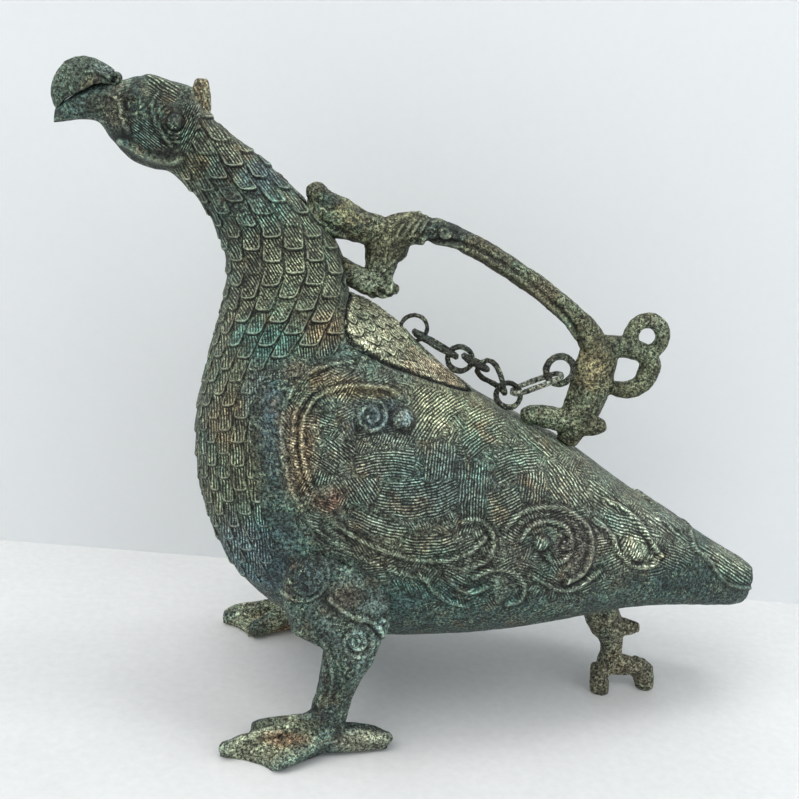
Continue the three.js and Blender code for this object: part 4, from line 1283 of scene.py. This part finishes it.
def stage_surface(name, places, height, shade):
    """A flat floor between four places, or a wall that stands on two and is clear from behind."""
    wall = height is not None
    shape = bmesh.new()
    corners = [shape.verts.new(place) for place in places]
    if wall:
        foot = shape.edges.new(corners)
        made = bmesh.ops.extrude_edge_only(shape, edges=[foot])
        top = [v for v in made["geom"] if isinstance(v, bmesh.types.BMVert)]
        bmesh.ops.translate(shape, verts=top, vec=(0, 0, height))
    else:
        shape.faces.new(corners)
    mesh = mesh_from(shape, name)
    turn_outwards(mesh, (0, 9000, -9000))
    material = bpy.data.materials.new(name)
    material.use_nodes = True
    tree = material.node_tree
    shader = tree.nodes["Principled BSDF"]
    where = tree.nodes.new("ShaderNodeTexCoord").outputs["Object"]
    amount, tone = 0.01 if wall else 0.05, shade
    for scale, detail in ((9, 6), (260, 4)):
        cloudy = grain(tree, where, scale, detail, 0.6, 0.3, 0.7)
        tone = tinted(tree, tone, grey(tree, cloudy, 1 - amount, 1 + amount / 2))
    link(tree, tone, shader.inputs["Base Color"])
    shader.inputs["Roughness"].default_value = 0.75
    shader.inputs["Specular IOR Level"].default_value = 0.2
    if wall:
        behind = tree.nodes.new("ShaderNodeNewGeometry").outputs["Backfacing"]
        clear = tree.nodes.new("ShaderNodeBsdfTransparent")
        camera_sees(tree, shader, clear, times(tree, behind, camera_ray(tree)), "Material Output")
    mesh.materials.append(material)
    surface = bpy.data.objects.new(name, mesh)
    bpy.context.scene.collection.objects.link(surface)


def place_camera(scene):
    eye, right, up, back = camera_axes()
    data = bpy.data.cameras.new("camera")
    data.sensor_width = 36
    data.lens = FOCAL_PIXELS / PICTURE * data.sensor_width
    data.clip_start = 0.01
    camera = bpy.data.objects.new("camera", data)
    turn = Matrix((right, up, back)).transposed().to_4x4()
    camera.matrix_world = Matrix.Translation(Vector(eye * MM)) @ turn
    scene.collection.objects.link(camera)
    scene.camera = camera


def place_lights(scene):
    world = bpy.data.worlds.new("soft room")
    world.use_nodes = True
    tree = world.node_tree
    light = tree.nodes["Background"]
    light.inputs[0].default_value = (0.94, 0.97, 1.0, 1)
    light.inputs[1].default_value = 0.52
    shown = tree.nodes.new("ShaderNodeBackground")
    shown.inputs[0].default_value = (*BACKDROP, 1)
    camera_sees(tree, light, shown, camera_ray(tree), "World Output")
    scene.world = world
    lamps = [
        ("key", (-0.7, -0.7, 1.5), 1.2, 18, (1, 0.98, 0.95)),
        ("fill", (0.9, -1.0, 0.9), 1.4, 8, (0.95, 0.98, 1)),
        ("top", (0.2, 0.3, 1.5), 1.0, 24, (1, 1, 1)),
    ]
    for name, spot, size, power, shade in lamps:
        data = bpy.data.lights.new(name, "AREA")
        data.size = size
        data.energy = power
        data.color = shade
        lamp = bpy.data.objects.new(name, data)
        lamp.location = spot
        lamp.rotation_euler = (Vector((0, 0, 0.1)) - Vector(spot)).to_track_quat("-Z", "Y").to_euler()
        scene.collection.objects.link(lamp)


class VESSEL_PT_panel(bpy.types.Panel):
    bl_label = "Vessel"
    bl_idname = "VESSEL_PT_panel"
    bl_space_type = "VIEW_3D"
    bl_region_type = "UI"
    bl_category = "Vessel"

    def draw(self, context):
        column = self.layout.column()
        for group in (context.scene.vessel_sizes, context.scene.vessel_colours):
            for name in group.bl_rna.properties.keys():
                if name not in ("rna_type", "name"):
                    column.prop(group, name)
        for operator in OPERATORS:
            column.operator(operator.bl_idname)


OPERATORS = (
    VESSEL_OT_stage, VESSEL_OT_body, VESSEL_OT_lid, VESSEL_OT_handle, VESSEL_OT_beak, VESSEL_OT_legs,
    VESSEL_OT_tail_support, VESSEL_OT_chain,
)
CLASSES = (VesselSizes, VesselColours, *OPERATORS, VESSEL_PT_panel)


def register():
    for cls in CLASSES:
        bpy.utils.register_class(cls)
    bpy.types.Scene.vessel_sizes = bpy.props.PointerProperty(type=VesselSizes)
    bpy.types.Scene.vessel_colours = bpy.props.PointerProperty(type=VesselColours)


def unregister():
    del bpy.types.Scene.vessel_colours
    del bpy.types.Scene.vessel_sizes
    for cls in reversed(CLASSES):
        bpy.utils.unregister_class(cls)


def main():
    register()
    bpy.ops.vessel.stage()
    bpy.ops.vessel.body()
    bpy.ops.vessel.lid()
    bpy.ops.vessel.handle()
    bpy.ops.vessel.beak()
    bpy.ops.vessel.legs()
    bpy.ops.vessel.tail_support()
    bpy.ops.vessel.chain()


if __name__ == "__main__":
    main()
